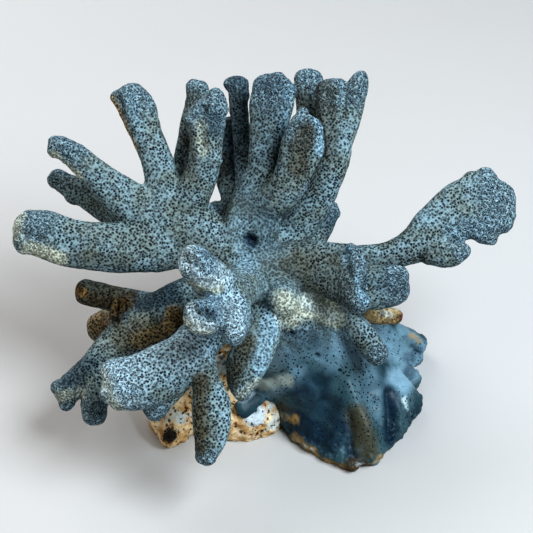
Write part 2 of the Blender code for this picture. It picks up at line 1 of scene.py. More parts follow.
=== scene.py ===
"""Blue ridge coral: the finished surface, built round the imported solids.

The colony is drawn in a growth frame, in millimetres, whose origin is the main fork:
across runs to the colony's right (+X), rise runs up the fan of branches, which leans back,
and out points away from the fan's face, towards the front. Every limb is a superellipse
carried along a smooth path; the limbs are fused into one skin, which gets its knobs, dents
and grain, is cut flat at the base and is parted at the same forks as the solids.
"""
import logging
import math
from dataclasses import dataclass, fields
from enum import Enum
from itertools import product
from typing import Iterator, Optional, Sequence, Union

import bmesh
import bpy
import numpy as np
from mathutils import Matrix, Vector

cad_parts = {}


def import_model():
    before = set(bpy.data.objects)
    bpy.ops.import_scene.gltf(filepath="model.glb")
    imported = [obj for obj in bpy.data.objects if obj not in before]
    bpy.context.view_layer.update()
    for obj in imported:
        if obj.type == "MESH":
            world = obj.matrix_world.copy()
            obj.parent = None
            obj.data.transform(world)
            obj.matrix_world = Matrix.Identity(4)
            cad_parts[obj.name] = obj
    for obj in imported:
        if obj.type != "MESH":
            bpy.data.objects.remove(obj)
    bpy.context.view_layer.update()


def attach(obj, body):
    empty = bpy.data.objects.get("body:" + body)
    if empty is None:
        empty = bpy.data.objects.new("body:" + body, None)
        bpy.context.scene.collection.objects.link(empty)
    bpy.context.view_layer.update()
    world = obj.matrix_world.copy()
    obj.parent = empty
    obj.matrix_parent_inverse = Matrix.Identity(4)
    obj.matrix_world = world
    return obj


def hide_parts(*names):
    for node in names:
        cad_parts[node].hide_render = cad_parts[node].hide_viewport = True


LOG = logging.getLogger("blue_ridge_coral")
MM = 0.001
FAN_LEAN = math.radians(40.0)     # how far the fan of branches leans back from upright
FORK_HEIGHT = 65.0                # height of the main fork above the flat base cut, in mm
FINE_VOXEL = 0.55                 # voxel of the remesh that fuses the limbs, in mm
KERF = 0.02                       # width of a fork cut in the finished skin, in mm

OUT = (0.0, 0.0, 1.0)             # the growth frame's out and rise directions
RISE = (0.0, 1.0, 0.0)
FAN_OUT = np.array((0.0, -math.cos(FAN_LEAN), math.sin(FAN_LEAN)))   # out, in the world's axes
SQUASH = np.array((1.0, 1.0, 0.4))   # what each direction counts in distance from a stretch
Point = Sequence[float]


# ---- arrays: frames, paths and noise -----------------------------------------------------

def to_world(points: np.ndarray) -> np.ndarray:
    """Takes growth-frame millimetres to world metres: a lean about X, then a lift.

    Args:
        points: rows of (across, rise, out).

    Returns:
        Rows of (x, y, z) in metres.
    """
    across, rise, out = np.moveaxis(np.asarray(points, dtype=float), -1, 0)
    lean_y = rise * math.sin(FAN_LEAN) - out * math.cos(FAN_LEAN)
    lean_z = FORK_HEIGHT + rise * math.cos(FAN_LEAN) + out * math.sin(FAN_LEAN)
    return np.stack([across, lean_y, lean_z], axis=-1) * MM


def to_growth(points: np.ndarray) -> np.ndarray:
    """Takes world metres back to growth-frame millimetres.

    Args:
        points: rows of (x, y, z) in metres.

    Returns:
        Rows of (across, rise, out).
    """
    x, y, z = np.moveaxis(points / MM, -1, 0)
    z = z - FORK_HEIGHT
    rise = y * math.sin(FAN_LEAN) + z * math.cos(FAN_LEAN)
    out = z * math.sin(FAN_LEAN) - y * math.cos(FAN_LEAN)
    return np.stack([x, rise, out], axis=-1)


def ease(value: np.ndarray, low: float, high: float) -> np.ndarray:
    """Smooth step: 3t² - 2t³, with t running from 0 at low to 1 at high.

    Args:
        value: the numbers to map.
        low: where the step starts.
        high: where the step ends.

    Returns:
        Numbers from 0 to 1.
    """
    t = np.clip((value - low) / (high - low), 0.0, 1.0)
    return t * t * (3.0 - 2.0 * t)


def smooth_path(stations: Sequence[Point], steps: int) -> np.ndarray:
    """Catmull-Rom curve through the stations: a cubic whose slopes follow its neighbours.

    Args:
        stations: the known rows.
        steps: rows made from one station to the next.

    Returns:
        The rows along the curve, all columns blended together.
    """
    known = np.array(stations, dtype=float)
    padded = np.vstack([2 * known[0] - known[1], known, 2 * known[-1] - known[-2]])
    t = np.linspace(0.0, 1.0, steps, endpoint=False)[:, None]
    rows = []
    for before, start, end, after in zip(padded, padded[1:], padded[2:], padded[3:]):
        rows.append(0.5 * (2 * start + (end - before) * t
                           + (2 * before - 5 * start + 4 * end - after) * t ** 2
                           + (3 * start - before - 3 * end + after) * t ** 3))
    rows.append(known[-1:])
    return np.vstack(rows)


def scrambled(lattice: np.ndarray, seed: int) -> np.ndarray:
    """Three numbers for each lattice point, from its indices times primes, shifted and folded.

    Args:
        lattice: rows of three whole numbers.
        seed: picks the scramble.

    Returns:
        Rows of three whole numbers from 0 to 1023.
    """
    key = (lattice * (73856093, 19349663, 83492791)).sum(axis=1) + seed * 7919
    key = (key ^ (key >> 15)) * 2246822519 & 0xFFFFFFFF
    key = (key ^ (key >> 13)) * 3266489917 & 0xFFFFFFFF
    return (key[:, None] >> np.array((2, 12, 22))) & 1023


def gradient_noise(places: np.ndarray, seed: int) -> np.ndarray:
    """Gradient noise: a scrambled slope at each lattice corner, blended by a quintic fade.

    Args:
        places: rows of (x, y, z) in lattice units.
        seed: picks the field.

    Returns:
        About -1 to 1 for each row.
    """
    cell = np.floor(places).astype(np.int64)
    local = places - cell
    fade = local ** 3 * (local * (local * 6.0 - 15.0) + 10.0)
    total = np.zeros(len(places))
    for corner in product((0, 1), repeat=3):
        slope = scrambled(cell + corner, seed) / 511.5 - 1.0
        weight = np.prod(np.where(corner, fade, 1.0 - fade), axis=1)
        total += weight * (slope * (local - corner)).sum(axis=1)
    return 1.6 * total


def fractal_noise(places: np.ndarray, size: float, octaves: int, seed: int) -> np.ndarray:
    """Sum of gradient noises, each at about half the spacing and half the height of the last.

    Args:
        places: rows in millimetres.
        size: spacing of the widest lumps, in millimetres.
        octaves: how many fields are added.
        seed: picks the fields.

    Returns:
        About -1 to 1 for each row.
    """
    total, height = np.zeros(len(places)), 1.0
    for octave in range(octaves):
        total += height * gradient_noise(places / size * 2.03 ** octave, seed + octave)
        height *= 0.5
    return total / 1.6


def cell_noise(places: np.ndarray, size: float, seed: int) -> np.ndarray:
    """Distance to the nearest of one scrambled point in each lattice cell.

    Args:
        places: rows in millimetres.
        size: the cell's side, in millimetres.
        seed: picks the points.

    Returns:
        The distance over the cell's side for each row.
    """
    scaled = places / size
    cell = np.floor(scaled).astype(np.int64)
    nearest = np.full(len(places), 9.0)
    for corner in product((-1, 0, 1), repeat=3):
        lattice = cell + corner
        point = lattice + scrambled(lattice, seed) / 1023.0
        nearest = np.minimum(nearest, ((scaled - point) ** 2).sum(axis=1))
    return np.sqrt(nearest)


def capsule_distance(places: np.ndarray, start: Point, end: Point) -> np.ndarray:
    """Distance from a straight stretch, with depth along out counted at less than half.

    Args:
        places: growth-frame rows in millimetres.
        start: one end of the stretch.
        end: its other end.

    Returns:
        The distance of each row.
    """
    a, b = np.array(start, dtype=float) * SQUASH, np.array(end, dtype=float) * SQUASH
    rows, along = places * SQUASH, b - a
    share = np.clip((rows - a) @ along / max(along @ along, 1e-9), 0.0, 1.0)
    return np.linalg.norm(rows - a - share[:, None] * along, axis=1)


@dataclass(frozen=True)
class Relief:
    """Lumps of fractal noise: their spacing and height in millimetres, octaves and seed."""

    size: float
    height: float
    octaves: int
    seed: int

    def at(self, places: np.ndarray) -> np.ndarray:
        """The height of the lumps at each row of millimetres."""
        return self.height * fractal_noise(places, self.size, self.octaves, self.seed)


@dataclass(frozen=True)
class Pits:
    """Round pits at scrambled points: depth times (rim - cell noise), from 0 to the floor."""

    size: float                   # spacing of the pits, in mm
    depth: float                  # depth for each unit of cell noise, in mm
    rim: float
    floor: float
    seed: int

    def at(self, places: np.ndarray) -> np.ndarray:
        """The depth of the pits at each row of millimetres."""
        noise = cell_noise(places, self.size, self.seed)
        return self.depth * np.clip(self.rim - noise, 0.0, self.floor)


# ---- growths: limbs, knobs, mounds ------------------------------------------------------

@dataclass(frozen=True)
class Limb:
    """A growth of coral: stations (across, rise, out, width, thickness) along its middle."""

    stations: tuple
    facing: tuple = OUT           # the way the flat side of its section faces
    fork: Optional[float] = None  # place of its fork cut along the middle line, 0 to 1
    saw: float = 1.6              # reach of that cut, as a share of the width there
    part_of: str = ""             # node that it is a lobe of, where it isn't cut off
    tip: float = 13.0             # length of its granular growing end, in mm
    knobs: tuple = ()             # (across, rise, out, radius) of knobs on its end

    POINTS = 20                   # points round a section
    POWER = 2.35                  # superellipse power: 2 is an ellipse, more is boxier
    PATH_STEPS = 4                # points of the middle line from one station to the next
    STEPS = 6                     # rings from one station to the next
    CAPS = (85.0, 70.0, 55.0, 40.0, 25.0)   # latitudes of the rings that round off an end
    REACH = 0.2                   # how far the rounded tip runs on, over width + thickness

    def path(self) -> np.ndarray:
        """The middle line with its widths, as many points to a station as in the solids."""
        return smooth_path(self.stations, self.PATH_STEPS)

    def rings(self) -> np.ndarray:
        """Sections of the limb: |a|^p + |b|^p = 1 scaled by width and thickness at each ring.

        Returns:
            Growth-frame rings, rounded down at both ends, as (rings, points, 3).
        """
        path = smooth_path(self.stations, self.STEPS)
        centre, size = path[:, :3], path[:, 3:]
        along = np.gradient(centre, axis=0)
        along /= np.linalg.norm(along, axis=1)[:, None]
        side = np.cross(along, np.array(self.facing))
        side /= np.linalg.norm(side, axis=1)[:, None]
        flat = np.cross(side, along)
        lean = np.radians(self.CAPS)
        root = np.zeros(len(lean), dtype=int)
        pick = np.concatenate([root, np.arange(len(path)), root + len(path) - 1])
        lean = np.concatenate([-lean, np.zeros(len(path)), lean[::-1]])
        reach = self.REACH * size[pick].sum(axis=1) * np.sin(lean)
        middle = centre[pick] + reach[:, None] * along[pick]
        turn = np.linspace(0.0, 2 * math.pi, self.POINTS, endpoint=False)
        power = 2.0 / self.POWER
        a = np.sign(np.cos(turn)) * np.abs(np.cos(turn)) ** power / 2
        b = np.sign(np.sin(turn)) * np.abs(np.sin(turn)) ** power / 2
        spread = size[pick] * np.cos(lean)[:, None]
        return (middle[:, None]
                + (spread[:, :1] * a)[..., None] * side[pick][:, None]
                + (spread[:, 1:] * b)[..., None] * flat[pick][:, None])

    def end(self) -> tuple:
        """Finds the tip.

        Returns:
            The tip's place and the unit direction in which the limb grows there.
        """
        path = self.path()[:, :3]
        along = path[-1] - path[-3]
        return path[-1], along / np.linalg.norm(along)


def ball_rings(across: float, rise: float, out: float, radius: float) -> np.ndarray:
    """A ball as rings of latitude: radius times (cos, sin) of two angles on a grid.

    Args:
        across: the centre's place across the fan.
        rise: the centre's place up the fan.
        out: the centre's place out of the fan.
        radius: the ball's radius, all in millimetres.

    Returns:
        Growth-frame rings as (rings, points, 3).
    """
    lean = np.radians(np.linspace(-80.0, 80.0, 9))[:, None]
    turn = np.linspace(0.0, 2 * math.pi, 16, endpoint=False)[None]
    grid = np.stack([np.cos(lean) * np.cos(turn), np.cos(lean) * np.sin(turn),
                     np.sin(lean) + 0.0 * turn], axis=-1)
    return np.array((across, rise, out)) + radius * grid


@dataclass(frozen=True)
class Mound:
    """A low spreading mass: its edge from above as (x, y, height of the rim), and its peak."""

    edge: tuple
    middle: tuple                 # (x, y) that the rings close in on
    peak: float                   # height over the middle
    shape: float = 1.0            # under 1 the flanks are full, over 1 they are hollow
    folds: tuple = ()             # (direction in degrees, half width, depth) of its folds
    ripple: float = 0.0           # height of the ripples of its edge, in mm
    below: float = 4.0            # depth under the base plane, cut away later

    WALL = ((0.96, 0.0), (1.0, 0.45), (0.995, 0.8), (0.95, 1.0))   # (share of spoke, of rim)
    DOME = (0.9, 0.84, 0.77, 0.7, 0.62, 0.54, 0.46, 0.38, 0.3, 0.21, 0.1)   # shares of spoke
    RIPPLES = ((17.0, 1.0, 0.0), (29.0, 0.6, 1.0))   # (waves to a turn, share, phase)

    def rings(self) -> np.ndarray:
        """The edge drawn in along its spokes, rising by 1 - share over the rim, to a power.

        Returns:
            World-frame rings in millimetres, from under the base plane up to the peak.
        """
        edge = np.array(self.edge, dtype=float)
        edge = smooth_path(np.vstack([edge, edge[:1]]), 6)[:-1]
        middle = np.array(self.middle, dtype=float)
        spoke, rim = edge[:, :2] - middle, edge[:, 2]
        bearing = np.degrees(np.arctan2(spoke[:, 1], spoke[:, 0]))
        wave = sum(share * np.sin(np.radians(bearing) * waves + phase)
                   for waves, share, phase in self.RIPPLES)
        spoke = spoke * (1.0 + self.ripple * wave / np.linalg.norm(spoke, axis=1))[:, None]
        crease = np.zeros(len(edge))
        for direction, half_width, depth in self.folds:
            off = (bearing - direction + 180.0) % 360.0 - 180.0
            crease += depth * np.exp(-(off / half_width) ** 2)
        foot, brim = self.WALL[0][0], self.WALL[-1][0]
        rings = [np.column_stack([middle + foot * spoke, np.full(len(rim), -self.below)])]
        for share, part in self.WALL:
            rings.append(np.column_stack([middle + share * spoke, part * rim]))
        for share in self.DOME:
            height = rim + (self.peak - rim) * (1.0 - share / brim) ** self.shape
            height += crease * math.sin(math.pi * min(1.0, (1.05 - share) * 1.3))
            rings.append(np.column_stack([middle + share * spoke, height]))
        return np.array(rings)


class Growth:
    """A sub-assembly of limbs, each of them a dataclass field named for its node or lobe."""

    def limbs(self) -> Iterator[tuple]:
        """Goes through the limbs in the order in which they are written.

        Returns:
            Each limb's name and the limb.
        """
        for item in fields(self):
            value = getattr(self, item.name)
            if isinstance(value, Limb):
                yield item.name, value


@dataclass(frozen=True)
class LeftPalm(Growth):
    """The left palm and its six fingers."""

    left_palm: Limb = Limb((
        (-14.5, 3, -8, 23, 26), (-25, 12, -4, 23.5, 20), (-33, 20.5, -2, 25, 15),
        (-38, 28, -1, 21.5, 12)), fork=0.47, tip=0.0)
    left_long_arm: Limb = Limb((
        (-28.5, 11.5, -4, 20.5, 16), (-44, 9, -2, 20, 14), (-59, 8.5, 0, 19, 13),
        (-73, 10, 1, 18.5, 12.5), (-83.5, 13.5, 2, 18.5, 12), (-90, 14.5, 2, 17, 11)), fork=0.45,
        tip=14.0, knobs=((-89, 18.5, 2, 4.5), (-91, 9.5, 2, 3.8)))
    left_forked_finger: Limb = Limb((
        (-50, 17.5, -4, 13, 10), (-62, 24.5, -9, 11.5, 9), (-72, 30.5, -12, 10, 9),
        (-81.5, 35.5, -14, 8, 8)), fork=0.36, tip=10.0, knobs=((-73.5, 29.5, -12, 4.6),))
    left_upper_finger: Limb = Limb((
        (-40, 20, -2, 19, 12), (-52, 26, 0, 16.5, 12), (-61.5, 34, 2, 12.5, 11),
        (-70, 41.5, 4, 10, 10), (-77, 46.5, 6, 9, 9)), fork=0.41,
        knobs=((-79, 48.3, 6, 3), (-79.4, 44.6, 6, 2.8)))
    hooked_finger: Limb = Limb((
        (-37, 25, -2, 17, 12), (-40.5, 40, 0, 12.5, 11), (-45, 51.5, 0, 12.5, 11),
        (-48.5, 61, -1, 14.5, 11), (-52, 66.5, -2, 12.5, 10)), fork=0.28, tip=15.0,
        knobs=((-55.8, 65.4, -1, 3.4), (-50, 67.3, 0, 3.6)))
    back_left_finger: Limb = Limb((
        (-30.5, 30.5, -6, 13, 11), (-30, 46.5, -10, 9.5, 9), (-28, 60.5, -13, 8.5, 8),
        (-26.5, 70, -14, 8, 8)), fork=0.30, tip=10.0,
        knobs=((-28, 71, -14, 3.5), (-24.8, 70.4, -14, 3.4)))
    lumpy_finger: Limb = Limb((
        (-29.5, 24.5, 0, 15, 12), (-23.5, 37.5, 4, 12.5, 12), (-22, 49, 6, 12.5, 12),
        (-22, 56, 7, 15.5, 12), (-18.5, 64, 8, 9, 10)), fork=0.25, tip=17.0,
        knobs=((-18.4, 65.4, 8, 3.2), (-26.2, 58.6, 9, 3), (-28, 56.2, 8, 2.6),
               (-16.2, 60.2, 9, 3), (-18.4, 41, 8, 2.6)))


@dataclass(frozen=True)
class CentreStem(Growth):
    """The middle stem, its blades and its paddles."""

    centre_stem: Limb = Limb((
        (-9.5, 3, -6, 21.5, 24), (-5.5, 16, -2, 22, 18), (-2.5, 27.5, 0, 20, 14),
        (-1, 34, 0, 16.5, 11)), fork=0.45, tip=0.0)
    thin_back_blade: Limb = Limb((
        (-6.5, 28.5, -7, 10, 9), (-8.5, 46, -12, 7, 7), (-10, 60, -13, 7.5, 7),
        (-11, 73, -14, 7.5, 7)), fork=0.18, tip=9.0,
        knobs=((-13, 72.2, -14, 3.2), (-9.6, 71.6, -14, 3.6), (-8.8, 68, -14, 3)))
    shadow_blade: Limb = Limb((
        (-10, 21, -10, 8.5, 9), (-14.5, 33, -17, 8.5, 8), (-15.5, 45, -20, 7.5, 7.5),
        (-13.5, 58, -22, 6.5, 7)), fork=0.31, tip=8.0)
    centre_paddle: Limb = Limb((
        (-1, 30.5, 0, 11.5, 11), (-0.5, 41.5, 2, 11.5, 11), (1, 53, 2, 14, 11),
        (2.5, 63, 1, 17.5, 10), (3, 70, 0, 15, 9)), fork=0.26, tip=15.0,
        knobs=((-2.2, 70.4, 1, 2.8), (4.6, 72, 1, 3.5), (9.2, 67.8, 1, 3.4)))
    leaf_paddle: Limb = Limb((
        (-1, 24.5, 2, 14.5, 13), (7, 29.5, 6, 13.5, 12), (11, 38, 10, 14, 11),
        (14, 46.5, 13, 16.5, 9.5), (15, 53.5, 14, 12.5, 9)), fork=0.51, tip=10.0,
        knobs=((14.2, 58.3, 14, 2.6),))
    back_stub: Limb = Limb((
        (-13, 14.5, -10, 9.5, 9), (-20, 23.5, -13, 8, 8)), part_of="main_trunk", tip=5.0)


@dataclass(frozen=True)
class TallBlades(Growth):
    """The tall blade on the right, with its two lobes, and the branches behind it."""

    tall_right_blade: Limb = Limb((
        (1, 3, -10, 17, 22), (9.5, 13, -12, 14.5, 16), (18, 24, -9, 13.5, 14),
        (24, 35.5, -6, 12.5, 13), (27.5, 46, -4, 12, 12)), fork=0.42, tip=0.0)
    blade_left_lobe: Limb = Limb((
        (27.5, 46, -4, 11.5, 12), (26.5, 58, -3, 13.5, 10), (25.5, 69, -3, 13.5, 8)),
        part_of="tall_right_blade", tip=12.0, knobs=((22.6, 69.6, -3, 2.7), (28.6, 70.6, -3, 2.8)))
    blade_right_lobe: Limb = Limb((
        (28.5, 48, -4, 10, 11), (33, 61, -3, 9.5, 9), (36, 72, -2, 7.5, 8)),
        part_of="tall_right_blade", tip=11.0, knobs=((36.6, 73.2, -2, 3),))
    back_right_finger: Limb = Limb((
        (9.5, 21.5, -16, 11.5, 12), (14.5, 43, -20, 9.5, 10), (17, 61, -21, 9.5, 9),
        (17, 75.5, -21, 12, 9)), fork=0.26, tip=11.0)
    back_right_blade: Limb = Limb((
        (12, 3, -20, 13.5, 16), (21, 14.5, -24, 9.5, 10), (26, 24, -27, 9, 8)), fork=0.47, tip=9.0)


@dataclass(frozen=True)
class RightSide(Growth):
    """The right shoulder, the long arm and what grows under them."""

    shoulder_root: Limb = Limb((
        (-1, -3, -6, 21.5, 28), (11.5, 1, -2, 20.5, 22), (21.5, 1, 4, 20.5, 16)),
        part_of="main_trunk", tip=0.0)
    right_shoulder: Limb = Limb((
        (21.5, 1, 4, 19.5, 12), (28.5, -1, 12, 23, 7), (32, -2, 16, 23, 6)), fork=0.36, saw=2.6,
        tip=5.0, knobs=((31.5, 8.2, 17, 2.2), (33.2, 2, 18.5, 2)))
    shoulder_tip: Limb = Limb((
        (26, -4.5, 8, 11, 10), (35, -12, 17, 8, 10)), part_of="right_shoulder", tip=5.0)
    right_long_arm: Limb = Limb((
        (15.5, 1, -12, 15.5, 18), (33.5, 4, -11, 11, 13), (47.5, 5.5, -10, 11, 11.5),
        (57.5, 9.5, -9, 14, 11), (66.5, 17, -8, 18.5, 11), (76, 22.5, -7, 24, 11),
        (84.5, 24, -6, 29, 10.5), (90.5, 24, -6, 21.5, 9)), fork=0.36, tip=14.0,
        knobs=((79.4, 34.4, -7, 3.8), (84.6, 36.2, -7, 3.6), (91.2, 27.5, -6, 4.4),
               (91.4, 18.5, -6, 4.3), (86.4, 12.6, -6, 3.4)))
    long_arm_side_lobe: Limb = Limb((
        (63.5, 7.5, -7, 11.5, 10), (71, 6, -5, 10, 9), (76, 7.5, -4, 7, 8)),
        part_of="right_long_arm", tip=6.0)
    right_knob: Limb = Limb((
        (27, -4, -2, 15.5, 15), (40, -6.5, 3, 17, 12), (49.5, -5.5, 4.5, 15.5, 11)), fork=0.50,
        tip=5.0, knobs=((50.6, -2, 5, 3.8), (50.2, -9, 4, 3.2)))
    drooping_finger: Limb = Limb((
        (23, -7.5, -8, 14, 16), (31, -17.5, -6, 11, 12), (38, -26, -2, 10.5, 11),
        (42.5, -32, 2, 9, 10)), fork=0.60, tip=3.0)
    red_tipped_twig: Limb = Limb((
        (22, -12, -14, 10, 10), (38, -16.5, -17, 8.5, 8), (51.5, -18.5, -19, 6.5, 6.5)), fork=0.64,
        tip=4.0)


@dataclass(frozen=True)
class FrontArms(Growth):
    """The knuckled arm that reaches out, the front left arm and the blades under them."""

    front_arm: Limb = Limb((
        (-6, -3, 0, 18, 18), (-11, -7.5, 14, 18.5, 15), (-15.5, -10, 30, 19, 15)),
        facing=RISE, fork=0.64, tip=0.0)
    knuckle_upper: Limb = Limb((
        (-14, -9, 29, 15, 15), (-20, -2, 43, 12.5, 14), (-25, 3, 53, 10.5, 13)),
        facing=RISE, part_of="front_arm", tip=15.0)
    knuckle_lower: Limb = Limb((
        (-16, -12.5, 32, 14, 14), (-19.5, -16, 44, 13.5, 14), (-22, -16, 54, 12.5, 13)),
        facing=RISE, part_of="front_arm", tip=14.0)
    knuckle_right: Limb = Limb((
        (-12, -10.5, 30, 13, 14), (-10.5, -16, 41, 11.5, 13), (-11, -21, 49, 9, 12)),
        facing=RISE, part_of="front_arm", tip=10.0)
    front_left_arm: Limb = Limb((
        (-10, -13, -4, 18, 20), (-17, -18.5, 4, 17, 17), (-23.5, -25, 12, 16.5, 15),
        (-28.5, -30.5, 17, 17.5, 15), (-34, -35, 20, 20, 14), (-43.5, -40, 24, 21, 14),
        (-52.5, -41.5, 27, 20, 13)), fork=0.36, tip=8.0,
        knobs=((-55.4, -36.5, 28, 4.4), (-55.8, -44.5, 28, 4.2)))
    front_left_lobe: Limb = Limb((
        (-33, -40.5, 17, 12, 11), (-41, -51.5, 19, 9, 10)), part_of="front_left_arm", tip=5.0)
    front_curved_blade: Limb = Limb((
        (-1, -13, -2, 15, 14), (-1, -21, 6, 15, 11), (-3.5, -28.5, 9.5, 16, 10),
        (-7, -35.5, 10.5, 16, 9), (-8.5, -42, 11, 12, 8.5), (-8.5, -46, 11.5, 7, 8)),
        facing=(-0.3, 0.0, 0.95), fork=0.44, tip=4.0)
    hanging_blade: Limb = Limb((
        (-24, -29.5, 15, 10, 12), (-21.5, -39.5, 20.5, 10.5, 10), (-19.5, -49.5, 24, 14.5, 9.5),
        (-19.5, -59, 26, 13, 9), (-21.5, -67.5, 27.5, 8, 8)), fork=0.44, tip=5.0)


@dataclass(frozen=True)
class LowLeft(Growth):
    """The low left arm with its two fingers, and the broken growths behind it."""

    low_left_arm: Limb = Limb((
        (-16.5, -9.5, -10, 24, 22), (-31, -15, -9, 23, 18), (-44, -21.5, -7, 21.5, 16),
        (-56.5, -30.5, -6, 18, 14), (-65, -38.5, -4, 14, 13)), fork=0.20, tip=0.0)
    broken_ridge: Limb = Limb((
        (-49, -17.5, -8, 11.5, 11), (-55.5, -14.5, -4, 11.5, 7)), part_of="low_left_arm", tip=0.0)
    low_left_finger: Limb = Limb((
        (-56.5, -30.5, -6, 14, 13), (-69, -40.5, -3, 11.5, 12), (-76, -46.5, -1, 10.5, 11)),
        part_of="low_left_arm", tip=9.0, knobs=((-78.6, -44.6, -1, 3.2), (-75.6, -50.6, 0, 3.2)))
    low_left_knuckle: Limb = Limb((
        (-58.5, -37.5, -4, 12, 12), (-64, -48.5, 1, 11, 12), (-64.5, -55, 3, 10, 11)),
        part_of="low_left_arm", tip=7.0)
    broken_stub: Limb = Limb((
        (-44.5, -14, -11, 11, 12), (-57.5, -11.5, -13, 10, 10), (-70, -8.5, -13, 10.5, 10.5)),
        fork=0.60, tip=0.0)
    tan_knob: Limb = Limb((
        (-50, -19, -15, 12.5, 13), (-62, -22, -25, 14, 13), (-66, -23, -26, 12.5, 12)),
        fork=0.45, tip=0.0)


@dataclass(frozen=True)
class RearBranches(Growth):
    """The branches behind the fan."""

    rear_left_branch: Limb = Limb((
        (-9, 2, -12, 20, 18), (-20, 10, -30, 15, 12), (-27, 17, -47, 13, 10),
        (-29, 20, -55, 11, 9)), facing=RISE, fork=0.30)
    rear_middle_branch: Limb = Limb((
        (3, 2, -14, 20, 18), (5, 14, -36, 14, 12), (3, 26, -54, 15, 10),
        (2, 32, -62, 12, 9)), facing=RISE, fork=0.30)
    rear_right_branch: Limb = Limb((
        (14, -3, -12, 18, 18), (27, -2, -30, 13, 12), (36, 1, -46, 13, 10),
        (39, 3, -53, 11, 9)), facing=RISE, fork=0.36)


@dataclass(frozen=True)
class TrunkAndCrust(Growth):
    """The thick trunk under the main fork and the crust that it spreads into."""

    main_trunk: Limb = Limb((
        (29, -54, -36, 54, 44), (22, -38, -27, 46, 44), (11, -24, -19, 50, 40),
        (5, -10, -10, 42, 34), (-2, 0, -5, 28, 28)), tip=0.0)
    crust_tongue: Limb = Limb((
        (3, -44, -22, 9, 6), (-3, -50, -18, 8, 6), (-9, -54.5, -13, 8, 5)), part_of="base_crust",
        tip=0.0)
    centre_bulge: Limb = Limb((
        (2, -4.5, -4, 17, 20), (7.5, -11.5, 9, 12.5, 13)), part_of="main_trunk", tip=0.0)
    crust: Mound = Mound(
        edge=((34, -45, 5), (42, -41.5, 6), (49, -34, 6), (56, -25, 7), (61.5, -15, 7.5),
              (63, -8, 7.5), (60, -2, 5), (64, 5, 6), (61.5, 13, 5), (67, 19, 9), (66, 26, 10),
              (59, 30, 6), (54, 36, 5), (48, 42, 5), (36, 46, 5), (20, 48, 5), (4, 46, 5),
              (-10, 38, 6), (-20, 26, 8), (-22, 12, 12), (-18, 0, 17), (-13, -12, 18),
              (-10, -22, 15), (-4, -19, 19), (2, -20, 20), (8, -22, 17), (13, -23, 13),
              (10, -27, 9), (16, -33, 7), (23, -39, 5)),
        middle=(22, 0), peak=45.0, shape=0.8, ripple=0.35,
        folds=((-79.0, 7.0, -3.0), (-64.0, 7.0, 1.8), (-52.0, 6.0, -2.6), (-22.0, 12.0, 1.8),
               (12.0, 9.0, -1.5), (52.0, 10.0, 1.4), (110.0, 14.0, -1.6), (150.0, 14.0, 1.4)))
    fork_middle: tuple = (12.0, -2.0, 30.0)   # the trunk's level cut off the crust, in world mm
    fork_radius: float = 60.0
    heart: tuple = (44.0, -12.0, 6.0)         # a point inside the crust, in world mm


# ---- colours, painted light and shade, and pits that the growth carries ------------------

class Tint(Enum):
    """What tints the skin: stains, painted light and painted shade; each a point attribute of that
    name.
    """

    # painted light on lit rims and faces
    PAINTED_LIGHT = "pale"
    # painted shade in hollows, on shaded blades and on the low crust
    DEEP = "deep"
    # painted warm shade on undersides and sheltered flanks
    PAINTED_WARM_SHADE = "painted_warm_shade"
    # cream skin, with painted light on the shaded saddle and the left-facing arm ends
    CREAM_AND_WARM_LIGHT = "cream"
    OCHRE = "ochre"
    BROWN = "brown"
    RUST = "rust"
    # white grain, with painted light on the front left arm and the saddle
    FROST_AND_LIGHT = "frost_and_light"
    POROUS = "porous"


@dataclass(frozen=True)
class TintPatch:
    """A patch of stain, painted light or painted shade round a straight stretch of the skin, in
    growth mm.
    """

    start: tuple
    end: tuple
    radius: float
    strength: float = 1.0
    back: bool = False            # whether it also shows on skin that faces backwards

    EDGE = (0.45, 1.45)           # where it starts to fade and where it ends, over its radius
    TURN = (-0.35, 0.15)          # how far out the skin has to face, from not at all to fully

    def share(self, places: np.ndarray, wander: np.ndarray, facing: np.ndarray) -> np.ndarray:
        """How strongly the patch shows: its strength, less by a smooth step past its radius.

        Args:
            places: growth-frame rows.
            wander: millimetres added to each row's distance, which frays the edge.
            facing: how far out of the fan each row's skin faces, -1 to 1.

        Returns:
            0 to 1 for each row.
        """
        near = capsule_distance(places, self.start, self.end) + wander
        low, high = self.EDGE
        value = 1.0 - ease(near, low * self.radius, high * self.radius)
        seen = 1.0 if self.back else ease(facing, *self.TURN)
        return self.strength * value * seen


@dataclass(frozen=True)
class Dent:
    """A groove or pit round a straight stretch, pressed in along the skin's normal."""

    start: tuple
    end: tuple
    radius: float
    depth: float                  # negative for a ridge

    def push(self, places: np.ndarray, facing: np.ndarray) -> np.ndarray:
        """How far the skin goes in: the depth times e to the minus (distance / radius)².

        Args:
            places: growth-frame rows.
            facing: how far out of the fan each row's skin faces, 0 to 1.

        Returns:
            Millimetres for each row.
        """
        near = capsule_distance(places, self.start, self.end)
        return self.depth * np.exp(-(near / self.radius) ** 2) * facing
